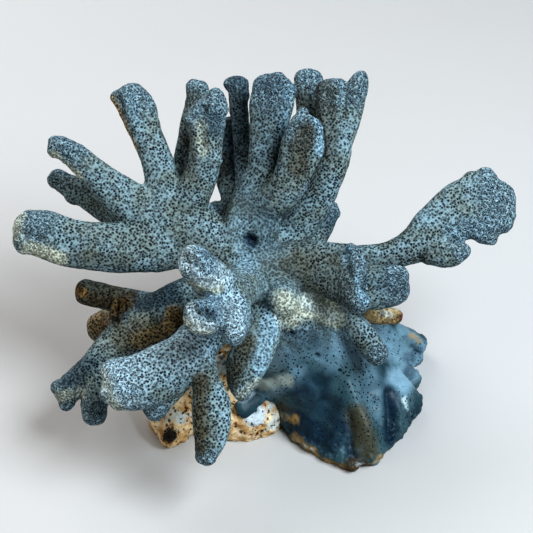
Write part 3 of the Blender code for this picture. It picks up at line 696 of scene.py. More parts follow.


# stains, painted light and painted shade, by tint
TINT_PATCHES = {
    Tint.PAINTED_LIGHT: (   # painted light on lit rims and faces: knuckles, edges of blades, the front arms, the crust's flows and curls
        TintPatch((44, -25, -30), (58, -35, -44), 5.0, 0.55, True),
        TintPatch((2, -46, -10), (12, -40, -5), 4.0, 0.45, True),
        TintPatch((-2, -36, -5), (8, -33, -2), 5.0, 0.35, True),
        TintPatch((37, -38, -8), (43, -52, -12), 7.0, 0.26, True),
        TintPatch((16, -25, 0), (26, -34, -3), 6.0, 0.3, True),
        TintPatch((56, -24, -40), (63, -30, -48), 3.0, 0.5, True),
        TintPatch((-11.5, -4, 50), (-9.5, -20, 50), 4.5, 0.8),
        TintPatch((-52, -37, 33), (-26, -27, 22), 9.0, 0.85),
        TintPatch((2, -17, 12), (-1.5, -37, 15), 3.4, 0.6),
        TintPatch((-14.5, -43, 28), (-15, -61, 28), 3.2, 0.25),
        TintPatch((-28, 6, 56), (-12, -14, 50), 6.5, 0.5),
        TintPatch((-24, -20, 56), (-12, -24, 52), 4.0, 0.5),
        TintPatch((20.3, 56.5, 14), (20.5, 44, 14), 2.4, 0.9),
        TintPatch((8.6, 69, 2), (6.6, 50, 4), 1.8, 0.6),
        TintPatch((30, 7.4, 15), (36.5, -10.5, 19), 1.9, 0.9),
        TintPatch((-7, 2.5, 10), (-10, 16, 8), 5.0, 0.5),
        TintPatch((-52, 64.5, 2), (-48, 52, 5), 3.8, 0.45),
        TintPatch((28.7, -26.8, -5), (36, -33, -12), 5.5, 0.55),
        TintPatch((53.2, -43.4, -21), (60, -40, -30), 6.0, 0.75),
        TintPatch((46.2, -27, -31), (54, -33, -30), 6.0, 0.6),
        TintPatch((59.2, -38.9, -42), (64.1, -33.2, -50), 5.0, 0.6),
        TintPatch((62, 22, -10), (80, 14, -2), 5.0, 0.3),
        TintPatch((4, -44, -10), (11.5, -42.5, -5), 3.5, 0.5),
    ),
    Tint.DEEP: (   # painted shade: hollows, blades that stand in shadow, and the low parts of the crust
        TintPatch((-5, 14, 6), (6, -4, 12), 6.0, 0.25),
        TintPatch((-10.5, 72, -9), (-14.5, 42, -17), 6.0, 0.58, True),
        TintPatch((2, 70, 5), (2, 42, 10), 6.5, 0.42),
        TintPatch((16, 74, 0), (17, 44, 0), 5.0, 0.55, True),
        TintPatch((-4, 30, 8), (0, 10, 10), 7.0, 0.42),
        TintPatch((40, -4, 18), (50, -6, 9), 4.0, 0.35),
        TintPatch((-40, -10.5, -2), (-34, -13.5, 0), 4.5, 0.55),
        TintPatch((-5.5, 12, 6), (-4.4, 10, 6), 3.0),
        TintPatch((-46, -11.5, -1), (-36, -9, -3), 4.5, 0.8),
        TintPatch((-73.6, -41.5, 3), (-68, -36, 2), 4.0, 0.6),
        TintPatch((19.4, -62.9, -11), (13.6, -60.4, -14), 6.5),
        TintPatch((25.1, -66.6, -9), (29, -62, -8), 5.0, 0.9),
        TintPatch((15, -46.5, -6), (24, -54, -8), 7.0, 0.7),
        TintPatch((48.9, -47.9, -16), (49.6, -66.2, -14), 3.4),
        TintPatch((62.5, -34, -46), (58, -41, -38), 3.0, 0.7),
        TintPatch((9.9, -24.2, 2), (18, -27, -2), 4.0, 0.55),
        TintPatch((31.5, -60, -8), (33, -71, -8), 2.4, 0.9),
        TintPatch((-19, 57, 12), (-19.5, 51, 12), 2.4, 0.5),
        TintPatch((26, 19, -20), (29, 9, -20), 5.0, 0.5),
        TintPatch((-27, 4, 58), (-21.5, 0.5, 58), 2.2, 0.7),
        TintPatch((-22.5, -12.5, 60), (-18, -15, 58), 2.6, 0.6),
    ),
    Tint.PAINTED_WARM_SHADE: (   # painted warm shade on undersides and sheltered flanks
        TintPatch((-23, -40, 28), (-22, -60, 28), 3.0, 0.8, True),
        TintPatch((24, 68, 2), (24, 44, 2), 4.0, 0.55),
        TintPatch((14, 9, 12), (28, -2, 14), 6.0, 0.45),
        TintPatch((-24, -40, 26), (-22.6, -64, 29), 3.0, 0.95),
        TintPatch((-7, -27, 13), (-12.5, -40, 14), 3.6, 0.85),
        TintPatch((14.7, 50, 18), (11.5, 38, 16), 4.6, 0.85),
        TintPatch((22, 68, 1), (23, 52, 0), 5.5, 0.6),
        TintPatch((-27, 52, 10), (-27.5, 36, 6), 3.6, 0.5),
        TintPatch((-72, 5, 6), (-52, 3.4, 6), 3.0, 0.45),
        TintPatch((12, 2, 10), (26, -7.5, 13), 7.5, 0.6),
        TintPatch((44, 2, -4), (64, 8, -4), 3.0, 0.4),
        TintPatch((30, -18, 1), (36, -29, 4), 2.6, 0.45),
        TintPatch((-20, 4, 4), (-27, 9, 4), 6.0, 0.5),
        TintPatch((-36, -22, 0), (-52, -26, 1), 6.0, 0.85),
        TintPatch((35.7, -55.7, -6), (39.6, -69.3, -7), 4.5, 0.9),
        TintPatch((-26.6, 66, -9), (-29, 50, -8), 4.4, 0.6),
        TintPatch((16, 68, -16), (15, 50, -16), 4.4, 0.5),
        TintPatch((-16.5, 44, -16), (-17, 34, -14), 3.2, 0.6),
        TintPatch((-2, -25, -2), (4, -38, -4), 5.0, 0.35),
        TintPatch((-70, -8.5, -9), (-58, -10.5, -9), 6.5, 0.9, True),
    ),
    Tint.CREAM_AND_WARM_LIGHT: (   # cream saddles between branches, worn edges and the crust's raw lip, with painted warm light on the left-facing ends of the long arms and painted light on the shaded saddle
        TintPatch((14, -13.5, 4), (27, -18.5, -1), 3.6, 0.95, True),
        TintPatch((-1, -44, -12), (8, -42, -6), 2.6, 0.5, True),
        TintPatch((7.4, -12.6, 14), (9.5, -17, 6), 5.0, 0.7),
        TintPatch((14, -14.5, 4), (24, -15.5, 0), 4.6, 0.95),
        TintPatch((-90, 8, 6), (-76.8, 4.5, 6), 3.0, 0.8),
        TintPatch((-94, 12, 3), (-93, 20, 3), 3.0, 0.6),
        TintPatch((-80, 42, 9), (-71, 36, 6), 2.2, 0.7),
        TintPatch((-24.5, -5.5, 53), (-16.5, -6.5, 48), 2.6, 0.95),
        TintPatch((-26.5, -17.5, 56), (-19, -21.5, 56), 2.0, 0.7),
        TintPatch((-58.5, -38, 30), (-52.5, -50, 28), 2.6, 0.55),
        TintPatch((-9, -46, 14), (-2.5, -42, 14), 2.2, 0.5),
        TintPatch((-47, -20, 1), (-59, -29, 1), 4.0, 0.22),
        TintPatch((-77, -48, 3), (-70, -46, 3), 2.6, 0.6),
        TintPatch((-24.4, 54, 12), (-23.2, 44.5, 12), 2.2, 0.42),
        TintPatch((12, -66.5, -15), (19, -73, -12), 1.1, 0.9, True),
        TintPatch((43, -15, -15), (51, -16.5, -16), 1.8, 0.9, True),
    ),
    Tint.OCHRE: (   # worn strips, broken plates and the raw edge of the crust
        TintPatch((-57.6, 65, -1), (-55.6, 57.5, 1), 2.0, 0.85),
        TintPatch((-55, 57, 1), (-50.5, 46.5, 2), 1.7, 0.8),
        TintPatch((-34.5, -17, 0), (-37, -21.5, 0), 3.0, 0.6),
        TintPatch((-40, -24, 1), (-48, -26.5, 1), 3.0, 0.4),
        TintPatch((-73, -8.5, -9), (-71, -8.5, -9), 2.4, 1.0, True),
        TintPatch((-58.5, -15.5, -1), (-53.5, -12.5, -1), 2.2, 0.8, True),
        TintPatch((11, -65.5, -15), (20, -72.5, -12), 1.9, 0.9, True),
        TintPatch((20, -73.5, -12), (34, -77.5, -8), 1.5, 0.9, True),
        TintPatch((3, -57.5, -19), (11, -58.5, -15), 1.9, 0.95, True),
        TintPatch((37, -76, -8), (48, -71, -13), 1.2, 0.6, True),
        TintPatch((42, -16.8, -15), (56, -19, -17), 4.5, 0.8, True),
        TintPatch((60, -27, -45), (63, -29.5, -48), 1.5, 0.7, True),
        TintPatch((-74.5, -24, -24), (-66, -20, -20), 6.0, 0.65, True),
    ),
    Tint.BROWN: (   # broken and dead ends
        TintPatch((33, -77, -8), (37.5, -77, -8), 1.7, 1.0, True),
        TintPatch((5, -54, -17), (9, -55, -15), 1.6, 0.7, True),
        TintPatch((4, -59, -19), (9, -59, -16), 1.2, 0.8, True),
        TintPatch((-72.5, -5.5, -9), (-72.5, -11.5, -9), 2.2, 0.8, True),
        TintPatch((-68, -11.5, -9), (-60, -12.5, -9), 3.5, 0.6, True),
        TintPatch((-57.5, -17.5, -2), (-51.5, -9.8, -3), 3.6, 0.85),
        TintPatch((-33, -18, 0), (-31, -21, 2), 3.2, 0.9),
        TintPatch((-69, -25, -21), (-60, -24, -16), 5.0, 0.5, True),
        TintPatch((33.5, -76, -6), (38, -75.5, -6), 3.4, 0.9, True),
    ),
    Tint.RUST: (   # the dark red end of the twig
        TintPatch((54.6, -19.4, -19), (56, -19.6, -19), 2.6, 1.0, True),
    ),
    Tint.FROST_AND_LIGHT: (   # worn white grain on knuckles, ends and raw edges, with painted light on the front left arm and the shaded saddle
        TintPatch((-30, 8, 55), (-24, -1, 58), 4.5, 0.6, True),
        TintPatch((-24, -3, 52), (-17, -4, 50), 2.6, 0.9),
        TintPatch((-27, -10, 58), (-24, -18, 60), 2.6, 0.55, True),
        TintPatch((-24, -18.5, 60), (-15, -20, 58), 2.2, 0.6, True),
        TintPatch((-13, 0, 50), (-10, -20, 50), 4.0, 0.5),
        TintPatch((-58, -30, 30), (-57, -42, 31), 2.6, 0.5, True),
        TintPatch((-56, -43, 31), (-47, -47, 30), 2.4, 0.4, True),
        TintPatch((-52, -37, 33), (-28, -29, 25), 8.0, 0.42),
        TintPatch((-6, -42, 20), (-7.5, -51, 22), 1.5, 0.7, True),
        TintPatch((54.9, -51.5, -21), (56.4, -55.5, -21), 1.3, 0.9, True),
        TintPatch((11, -65, -14), (18, -71, -12), 0.9, 0.8, True),
        TintPatch((36, -74.5, -8), (42, -73.5, -10), 0.7, 0.4, True),
        TintPatch((16, -12.5, 3), (27, -18, -1), 2.6, 0.6, True),
        TintPatch((-3, -43, -10), (-9, -49, -10), 2.6, 0.7, True),
        TintPatch((45, -16.6, -14), (50, -17.8, -14), 1.1, 0.5, True),
    ),
    Tint.POROUS: (   # finer pores where branches meet, and crust that is as porous as the branches
        TintPatch((40, -16.8, -15), (56, -19, -17), 6.0, 1.0, True),
        TintPatch((-7, 24, 7), (6, -6, 12), 9.0, 0.9, True),
        TintPatch((14, -12, 5), (27, -17, 0), 6.0, 1.0, True),
        TintPatch((-6, -18, 24), (0, -24, 14), 5.0, 0.7, True),
        TintPatch((34, -41, -8), (42, -62, -12), 8.0),
        TintPatch((-2, -30, -4), (8, -38, -4), 9.0),
        TintPatch((13, -28, -2), (26, -32, -5), 9.0, 0.9),
    ),
}

DENTS = (
    # the crease and the hollows of the hooked and lumpy fingers
    Dent((-56.2, 66.5, 4), (-54.4, 58, 4), 1.5, 3.2),
    Dent((-54.4, 58, 4), (-51, 50, 5), 1.4, 1.4),
    Dent((-22.5, 59.6, 13), (-22.6, 59, 13), 1.3, 2.4),
    Dent((-24.6, 55, 12), (-23.4, 46, 12), 2.0, 1.8),
    Dent((-28.8, 56, 10), (-26, 60.5, 10), 1.6, -1.0),
    # the hollowed ends of the knuckles, with their rims
    Dent((-28.2, 4.4, 57), (-26.8, 3, 57), 1.6, 3.2),
    Dent((-23.4, 2.6, 57), (-21.2, -0.4, 57), 1.8, 4.2),
    Dent((-27, 6.8, 57), (-24, 6, 57), 1.0, -0.8),
    Dent((-25, 3.2, 57), (-24.6, 0.6, 57), 0.9, -0.8),
    Dent((-24.8, -12.8, 60), (-23.2, -14.5, 60), 1.5, 2.6),
    Dent((-20.4, -11.4, 59), (-18.4, -14.8, 59), 1.8, 3.8),
    Dent((-26.4, -9, 58), (-27.2, -15, 60), 1.0, -0.8),
    Dent((-14.8, -14, 56), (-14.4, -19, 56), 1.2, -1.0),
    Dent((-25.5, -3, 56), (-17, -6, 50), 1.7, 1.2),
    Dent((-24.4, 0, 57), (-22.5, 5.6, 57), 1.0, -0.9),
    # the concave faces of the paddles and blades
    Dent((14.9, 50, 19), (12, 39, 17), 3.8, 1.7),
    Dent((23.8, 66.5, 2), (26, 50, 2), 2.4, 1.0),
    Dent((30.6, 72, 2), (29.6, 58, 2), 1.5, 1.7),
    Dent((33, 70, 2), (32.4, 60, 2), 0.9, 0.6),
    Dent((-5.6, 11.4, 7), (-4, 10.4, 7), 1.5, 2.6),
    Dent((29, 7.2, 16), (31.6, -3, 19), 0.9, 1.3),
    Dent((-0.2, 71, 4), (0.2, 66, 5), 1.4, 0.9),
    Dent((6.8, 71, 4), (6.2, 66, 5), 1.4, 0.9),
    # the furrowed ends of the long arms
    Dent((-84, 11.5, 9), (-91, 13, 9), 1.6, 1.0),
    Dent((-79, 18, 8), (-86, 20, 8), 1.3, 0.6),
    Dent((87, 31, 1), (80, 26, 1), 1.7, 1.0),
    Dent((90, 22, 1), (81, 20, 1), 1.7, 1.0),
    Dent((84, 14, 1), (78, 15, 1), 1.4, 0.8),
    # pits and folds of the trunk, the crust and the broken twig
    Dent((9.9, -24.2, 2), (10.1, -24.4, 2), 0.9, 2.4),
    Dent((19.8, -32.4, -3), (20.1, -32.6, -3), 0.8, 2.4),
    Dent((28.6, -38.6, -6), (28.9, -38.9, -6), 0.6, 1.8),
    Dent((16.4, -30, -2), (16.6, -30.2, -2), 0.5, 1.2),
    Dent((48.4, -48, -16), (49.4, -65, -14), 1.8, 2.6),
    Dent((52.4, -50, -18), (52.6, -62, -17), 1.2, -1.2),
    Dent((31.8, -56, -8), (33.2, -71, -8), 2.6, 2.4),
    Dent((39.5, -58, -9), (41, -70, -9), 3.0, -1.2),
    Dent((24, -52, -6), (22, -64, -10), 3.4, 1.6),
    Dent((14, -30, 0), (10, -40, -5), 3.6, -1.2),
    Dent((46, -33, -20), (55, -42, -24), 3.0, 1.8),
    Dent((44, -15.4, -14), (44.6, -17.4, -14), 1.1, 1.3),
    Dent((48, -15.6, -15), (49, -15.9, -15), 1.2, -1.0),
    Dent((51.6, -19.4, -16), (52, -16.4, -16), 1.0, 1.5),
    Dent((54.8, -17.6, -17), (55.6, -18, -18), 1.0, -0.9),
    Dent((60, -33, -48), (66, -36, -49), 1.6, 1.8),
    Dent((61, -47, -30), (66, -48, -30), 1.5, 2.0),
    Dent((57, -57, -20), (60, -58, -20), 1.2, 1.6),
    Dent((54.6, -51, -21), (56.6, -55.5, -21), 1.3, 1.0),
    Dent((57.6, -51.5, -22), (59, -55, -23), 0.9, -1.1),
    Dent((36, -75, -6), (37.5, -75.5, -6), 1.6, 2.2),
    # the broken plates beside the stub
    Dent((-57.6, -12, 0), (-58.4, -20, 0), 0.9, -1.5),
    Dent((-56, -12, 0), (-56.6, -20, 0), 0.8, 1.8),
    Dent((-54.4, -10.5, 0), (-54.8, -18, 0), 0.9, -1.5),
    Dent((-52.8, -10, 0), (-53.2, -16, 0), 0.8, 1.6),
    # the curled lip of the crust
    Dent((61, -26, -44), (66, -31, -47), 1.2, -1.3),
    Dent((58, -28, -42), (62, -33, -45), 1.4, 1.4),
    # the broken stub's hollow end
    Dent((-73.4, -8.5, -10), (-72.4, -8.5, -10), 2.2, 3.4),
    Dent((-57, -16.5, -2), (-52.5, -11.5, -2), 1.5, 1.6),
    Dent((-60, -17.5, -4), (-55, -17, -2), 1.2, -1.2),
)


# ---- meshes ------------------------------------------------------------------------------

def loft(rings: np.ndarray) -> tuple:
    """Quads between neighbouring rings, and a fan to the middle of each end.

    Args:
        rings: (rings, points, 3), each ring closed on itself.

    Returns:
        The points as rows, and the faces as a list of index rows, facing outwards.
    """
    count, around = rings.shape[:2]
    here = np.arange(count * around).reshape(count, around)
    beside = np.roll(here, -1, axis=1)
    quads = np.stack([here[:-1], beside[:-1], beside[1:], here[1:]], axis=-1).reshape(-1, 4)
    hub = np.full(around, count * around)
    fans = np.vstack([np.stack([beside[0], here[0], hub], axis=-1),
                      np.stack([here[-1], beside[-1], hub + 1], axis=-1)])
    points = np.vstack([rings.reshape(-1, 3), rings[[0, -1]].mean(axis=1)])
    corner = points[quads]
    normal = np.cross(corner[:, 2] - corner[:, 0], corner[:, 3] - corner[:, 1])
    if ((corner.mean(axis=1) - points.mean(axis=0)) * normal).sum() < 0.0:
        quads, fans = quads[:, ::-1], fans[:, ::-1]
    return points, quads.tolist() + fans.tolist()


def joined(shells: Sequence[tuple]) -> tuple:
    """Puts several lofts into one list of points and faces.

    Args:
        shells: (points, faces) of each loft.

    Returns:
        All the points, and all the faces with their indices moved along.
    """
    points, faces, start = [], [], 0
    for rows, polygons in shells:
        points.append(rows)
        faces += [[start + i for i in polygon] for polygon in polygons]
        start += len(rows)
    return np.vstack(points), faces


def linked(name: str, data: bpy.types.ID) -> bpy.types.Object:
    """Makes an object at the origin, unturned, and links it to the scene.

    Args:
        name: the object's name.
        data: the mesh, light or camera that it holds.

    Returns:
        The new object.
    """
    obj = bpy.data.objects.new(name, data)
    bpy.context.scene.collection.objects.link(obj)
    return obj


def mesh_object(name: str, points: np.ndarray, faces: Sequence[Sequence[int]],
                flat: Optional[np.ndarray] = None) -> bpy.types.Object:
    """Makes a linked object from points and faces.

    Args:
        name: the object's name.
        points: rows of world metres.
        faces: rows of point indices.
        flat: whether each face is shaded flat, by default all of them.

    Returns:
        The new object.
    """
    mesh = bpy.data.meshes.new(name)
    mesh.from_pydata(points.tolist(), [], faces)
    if flat is not None:
        mesh.polygons.foreach_set("use_smooth", ~flat)
    mesh.validate()
    return linked(name, mesh)


def vertex_rows(mesh: bpy.types.Mesh) -> tuple:
    """Reads a mesh's points and their normals.

    Args:
        mesh: the mesh to read.

    Returns:
        Rows of world metres, and rows of unit normals.
    """
    places, normals = np.empty(3 * len(mesh.vertices)), np.empty(3 * len(mesh.vertices))
    mesh.vertices.foreach_get("co", places)
    mesh.vertex_normals.foreach_get("vector", normals)
    return places.reshape(-1, 3), normals.reshape(-1, 3)


def move_skin(obj: bpy.types.Object, push: np.ndarray) -> None:
    """Moves every point of a skin along its normal.

    Args:
        obj: the object that is changed.
        push: millimetres outwards for each point.
    """
    places, normals = vertex_rows(obj.data)
    obj.data.vertices.foreach_set("co", (places + normals * push[:, None] * MM).ravel())
    obj.data.update()


def bake(obj: bpy.types.Object) -> None:
    """Applies the modifiers of an object to its mesh.

    Args:
        obj: the object that is changed.
    """
    depsgraph = bpy.context.evaluated_depsgraph_get()
    mesh = bpy.data.meshes.new_from_object(obj.evaluated_get(depsgraph))
    obj.modifiers.clear()
    old, obj.data = obj.data, mesh
    bpy.data.meshes.remove(old)


def fuse(obj: bpy.types.Object, voxel: float, smoothing: int) -> None:
    """Fuses an object's overlapping shells into one skin, and rounds its creases.

    Args:
        obj: the object that is changed.
        voxel: side of the voxels, in millimetres.
        smoothing: how many times every point is drawn halfway to its neighbours.
    """
    remesh = obj.modifiers.new("Fuse", "REMESH")
    remesh.mode = "VOXEL"
    remesh.voxel_size = voxel * MM
    smooth = obj.modifiers.new("Fillet", "SMOOTH")
    smooth.factor = 0.5
    smooth.iterations = smoothing
    bake(obj)


def subtract(obj: bpy.types.Object, cutter: bpy.types.Object) -> None:
    """Takes one closed skin out of another.

    Args:
        obj: the object that is changed.
        cutter: the object that is taken out of it.
    """
    boolean = obj.modifiers.new("Cut", "BOOLEAN")
    boolean.operation = "DIFFERENCE"
    boolean.solver = "MANIFOLD"
    boolean.object = cutter
    bake(obj)


def base_block(reach: float = 0.2, depth: float = 0.1) -> bpy.types.Object:
    """Makes a block under the base plane, whose top makes the flat cut.

    Args:
        reach: how far it goes from the origin to each side, in metres.
        depth: how far down it goes, in metres.

    Returns:
        The block.
    """
    corners = ((-reach, -reach), (reach, -reach), (reach, reach), (-reach, reach))
    rings = np.array([[(x, y, z) for x, y in corners] for z in (-depth, 0.0)])
    return mesh_object("base_block", *loft(rings))


# ---- parting at the forks ----------------------------------------------------------------

@dataclass(frozen=True)
class ForkCut:
    """A plane through a fork: its middle in world metres, its direction and its reach."""

    middle: np.ndarray
    along: np.ndarray
    reach: float


class Saw:
    """Parts a fused skin at its forks, one plane at a time, and closes both cut faces."""

    MARGIN = 3.0 * FINE_VOXEL * MM          # how near the plane a corner's faces are taken
    WIDEN = (1.0, 1.2, 1.45, 1.75)          # the reaches tried in turn, over the cut's own
    ASKEW = (0.3, 0.5, 0.8)                 # a direction that lies along none of the cuts

    def __init__(self, mesh: bpy.types.Mesh) -> None:
        """Takes a copy of the mesh to be parted.

        Args:
            mesh: the fused skin.
        """
        self.body = bmesh.new()
        self.body.from_mesh(mesh)
        self.corners = list(self.body.verts)
        self.places = vertex_rows(mesh)[0]
        self.added = []

    def near(self, cut: ForkCut) -> list:
        """Finds the faces that a cut may cross.

        Args:
            cut: the plane and its reach.

        Returns:
            The faces with a corner within reach of the middle and near the plane.
        """
        offset = self.places - cut.middle
        hit = np.linalg.norm(offset, axis=1) < cut.reach
        hit &= np.abs(offset @ cut.along) < self.MARGIN
        corners = [self.corners[i] for i in np.flatnonzero(hit) if self.corners[i].is_valid]
        middle = Vector(cut.middle)
        self.added = [corner for corner in self.added if corner.is_valid]
        corners += [corner for corner in self.added if (corner.co - middle).length < cut.reach]
        return list(dict.fromkeys(face for corner in corners for face in corner.link_faces))

    @staticmethod
    def loops(edges: Sequence[bmesh.types.BMEdge]) -> list:
        """Joins cut edges into closed loops.

        Args:
            edges: the edges that a cut made.

        Returns:
            The vertices of each closed loop, in order.
        """
        links = {}
        for edge in edges:
            first, second = edge.verts
            links.setdefault(first, []).append(second)
            links.setdefault(second, []).append(first)
        loops, seen = [], set()
        for start in links:
            if start in seen:
                continue
            loop, here = [], start
            while here is not None:
                seen.add(here)
                loop.append(here)
                here = next((v for v in links[here] if v not in seen), None)
            if len(loop) > 2 and loop[0] in links[loop[-1]]:
                loops.append(loop)
        return loops

    @staticmethod
    def winds_round(loop: list, cut: ForkCut) -> bool:
        """Tells whether a flat loop winds round its cut's middle, by the angle it turns.

        Args:
            loop: the vertices in order.
            cut: the plane that made the loop.

        Returns:
            True where the angle adds up to a whole turn.
        """
        rows = np.array([vertex.co for vertex in loop]) - cut.middle
        first = np.cross(cut.along, Saw.ASKEW)
        first /= np.linalg.norm(first)
        angle = np.arctan2(rows @ np.cross(cut.along, first), rows @ first)
        turn = np.diff(np.append(angle, angle[0]))
        return abs(((turn + math.pi) % (2 * math.pi) - math.pi).sum()) > math.pi

    def opened_loop(self, cut: ForkCut) -> tuple:
        """Bisects the near faces and looks for the loop that winds round the middle.

        Args:
            cut: the plane and its reach.

        Returns:
            The tightest such loop, or none, and every edge that the cut made.
        """
        near = self.near(cut)
        corners = dict.fromkeys(v for face in near for v in face.verts)
        sides = dict.fromkeys(e for face in near for e in face.edges)
        made = bmesh.ops.bisect_plane(self.body, geom=[*corners, *sides, *near], dist=1e-9,
                                      plane_co=Vector(cut.middle), plane_no=Vector(cut.along))
        edges = [item for item in made["geom_cut"] if isinstance(item, bmesh.types.BMEdge)]
        self.added += [item for item in made["geom_cut"] if isinstance(item, bmesh.types.BMVert)]
        rounds = [loop for loop in self.loops(edges) if self.winds_round(loop, cut)]
        middle = Vector(cut.middle)
        loop = min(rounds, key=lambda ring: max((v.co - middle).length for v in ring), default=[])
        return loop, edges

    def cut(self, name: str, cut: ForkCut) -> None:
        """Opens the loop that winds round the cut's middle, and closes both its sides.

        Args:
            name: the limb that is sawn off.
            cut: where it is sawn off.
        """
        for widen in self.WIDEN:
            loop, edges = self.opened_loop(ForkCut(cut.middle, cut.along, widen * cut.reach))
            ring = set(loop)
            beyond = [edge for edge in edges if not ring.issuperset(edge.verts)]
            bmesh.ops.dissolve_edges(self.body, edges=beyond, use_verts=True,
                                     use_face_split=False)
            if loop:
                break
        else:
            raise ValueError(f"the saw doesn't go round {name}")
        middle, along = Vector(cut.middle), Vector(cut.along)
        edges = dict.fromkeys(edge for vertex in loop for edge in vertex.link_edges
                              if ring.issuperset(edge.verts))
        opened = bmesh.ops.split_edges(self.body, edges=[*edges])
        rims = [edge for edge in opened["edges"] if edge.is_boundary]
        for rim in self.loops(rims):
            beside = rim[0].link_faces[0]
            side = 1.0 if (beside.calc_center_median() - middle).dot(along) > 0.0 else -1.0
            for vertex in rim:
                vertex.co += along * side * 0.5 * KERF * MM
            lid = self.body.faces.new(rim)
            lid.smooth = False
            self.added += rim

    def bodies(self) -> list:
        """Sorts the parted skin into its separate bodies.

        Returns:
            (points, triangles, whether each is flat) of each body.
        """
        bmesh.ops.triangulate(self.body, faces=self.body.faces)
        bmesh.ops.recalc_face_normals(self.body, faces=self.body.faces)
        whole = bpy.data.meshes.new("parted")
        self.body.to_mesh(whole)
        self.body.free()
        points = vertex_rows(whole)[0]
        corners = np.empty(3 * len(whole.polygons), dtype=np.int32)
        whole.polygons.foreach_get("vertices", corners)
        smooth = np.empty(len(whole.polygons), dtype=bool)
        whole.polygons.foreach_get("use_smooth", smooth)
        bpy.data.meshes.remove(whole)
        corners = corners.reshape(-1, 3)
        label, before = np.arange(len(points)), None
        while before is None or (label != before).any():
            before = label.copy()
            lowest = label[corners].min(axis=1)
            for column in range(3):
                np.minimum.at(label, corners[:, column], lowest)
            label = label[label]
        bodies = []
        for body in np.unique(label):
            mine = label == body
            number = np.cumsum(mine) - 1
            rows = mine[corners[:, 0]]
            bodies.append((points[mine], number[corners[rows]].tolist(), ~smooth[rows]))
        return bodies


# ---- sub-assemblies ----------------------------------------------------------------------

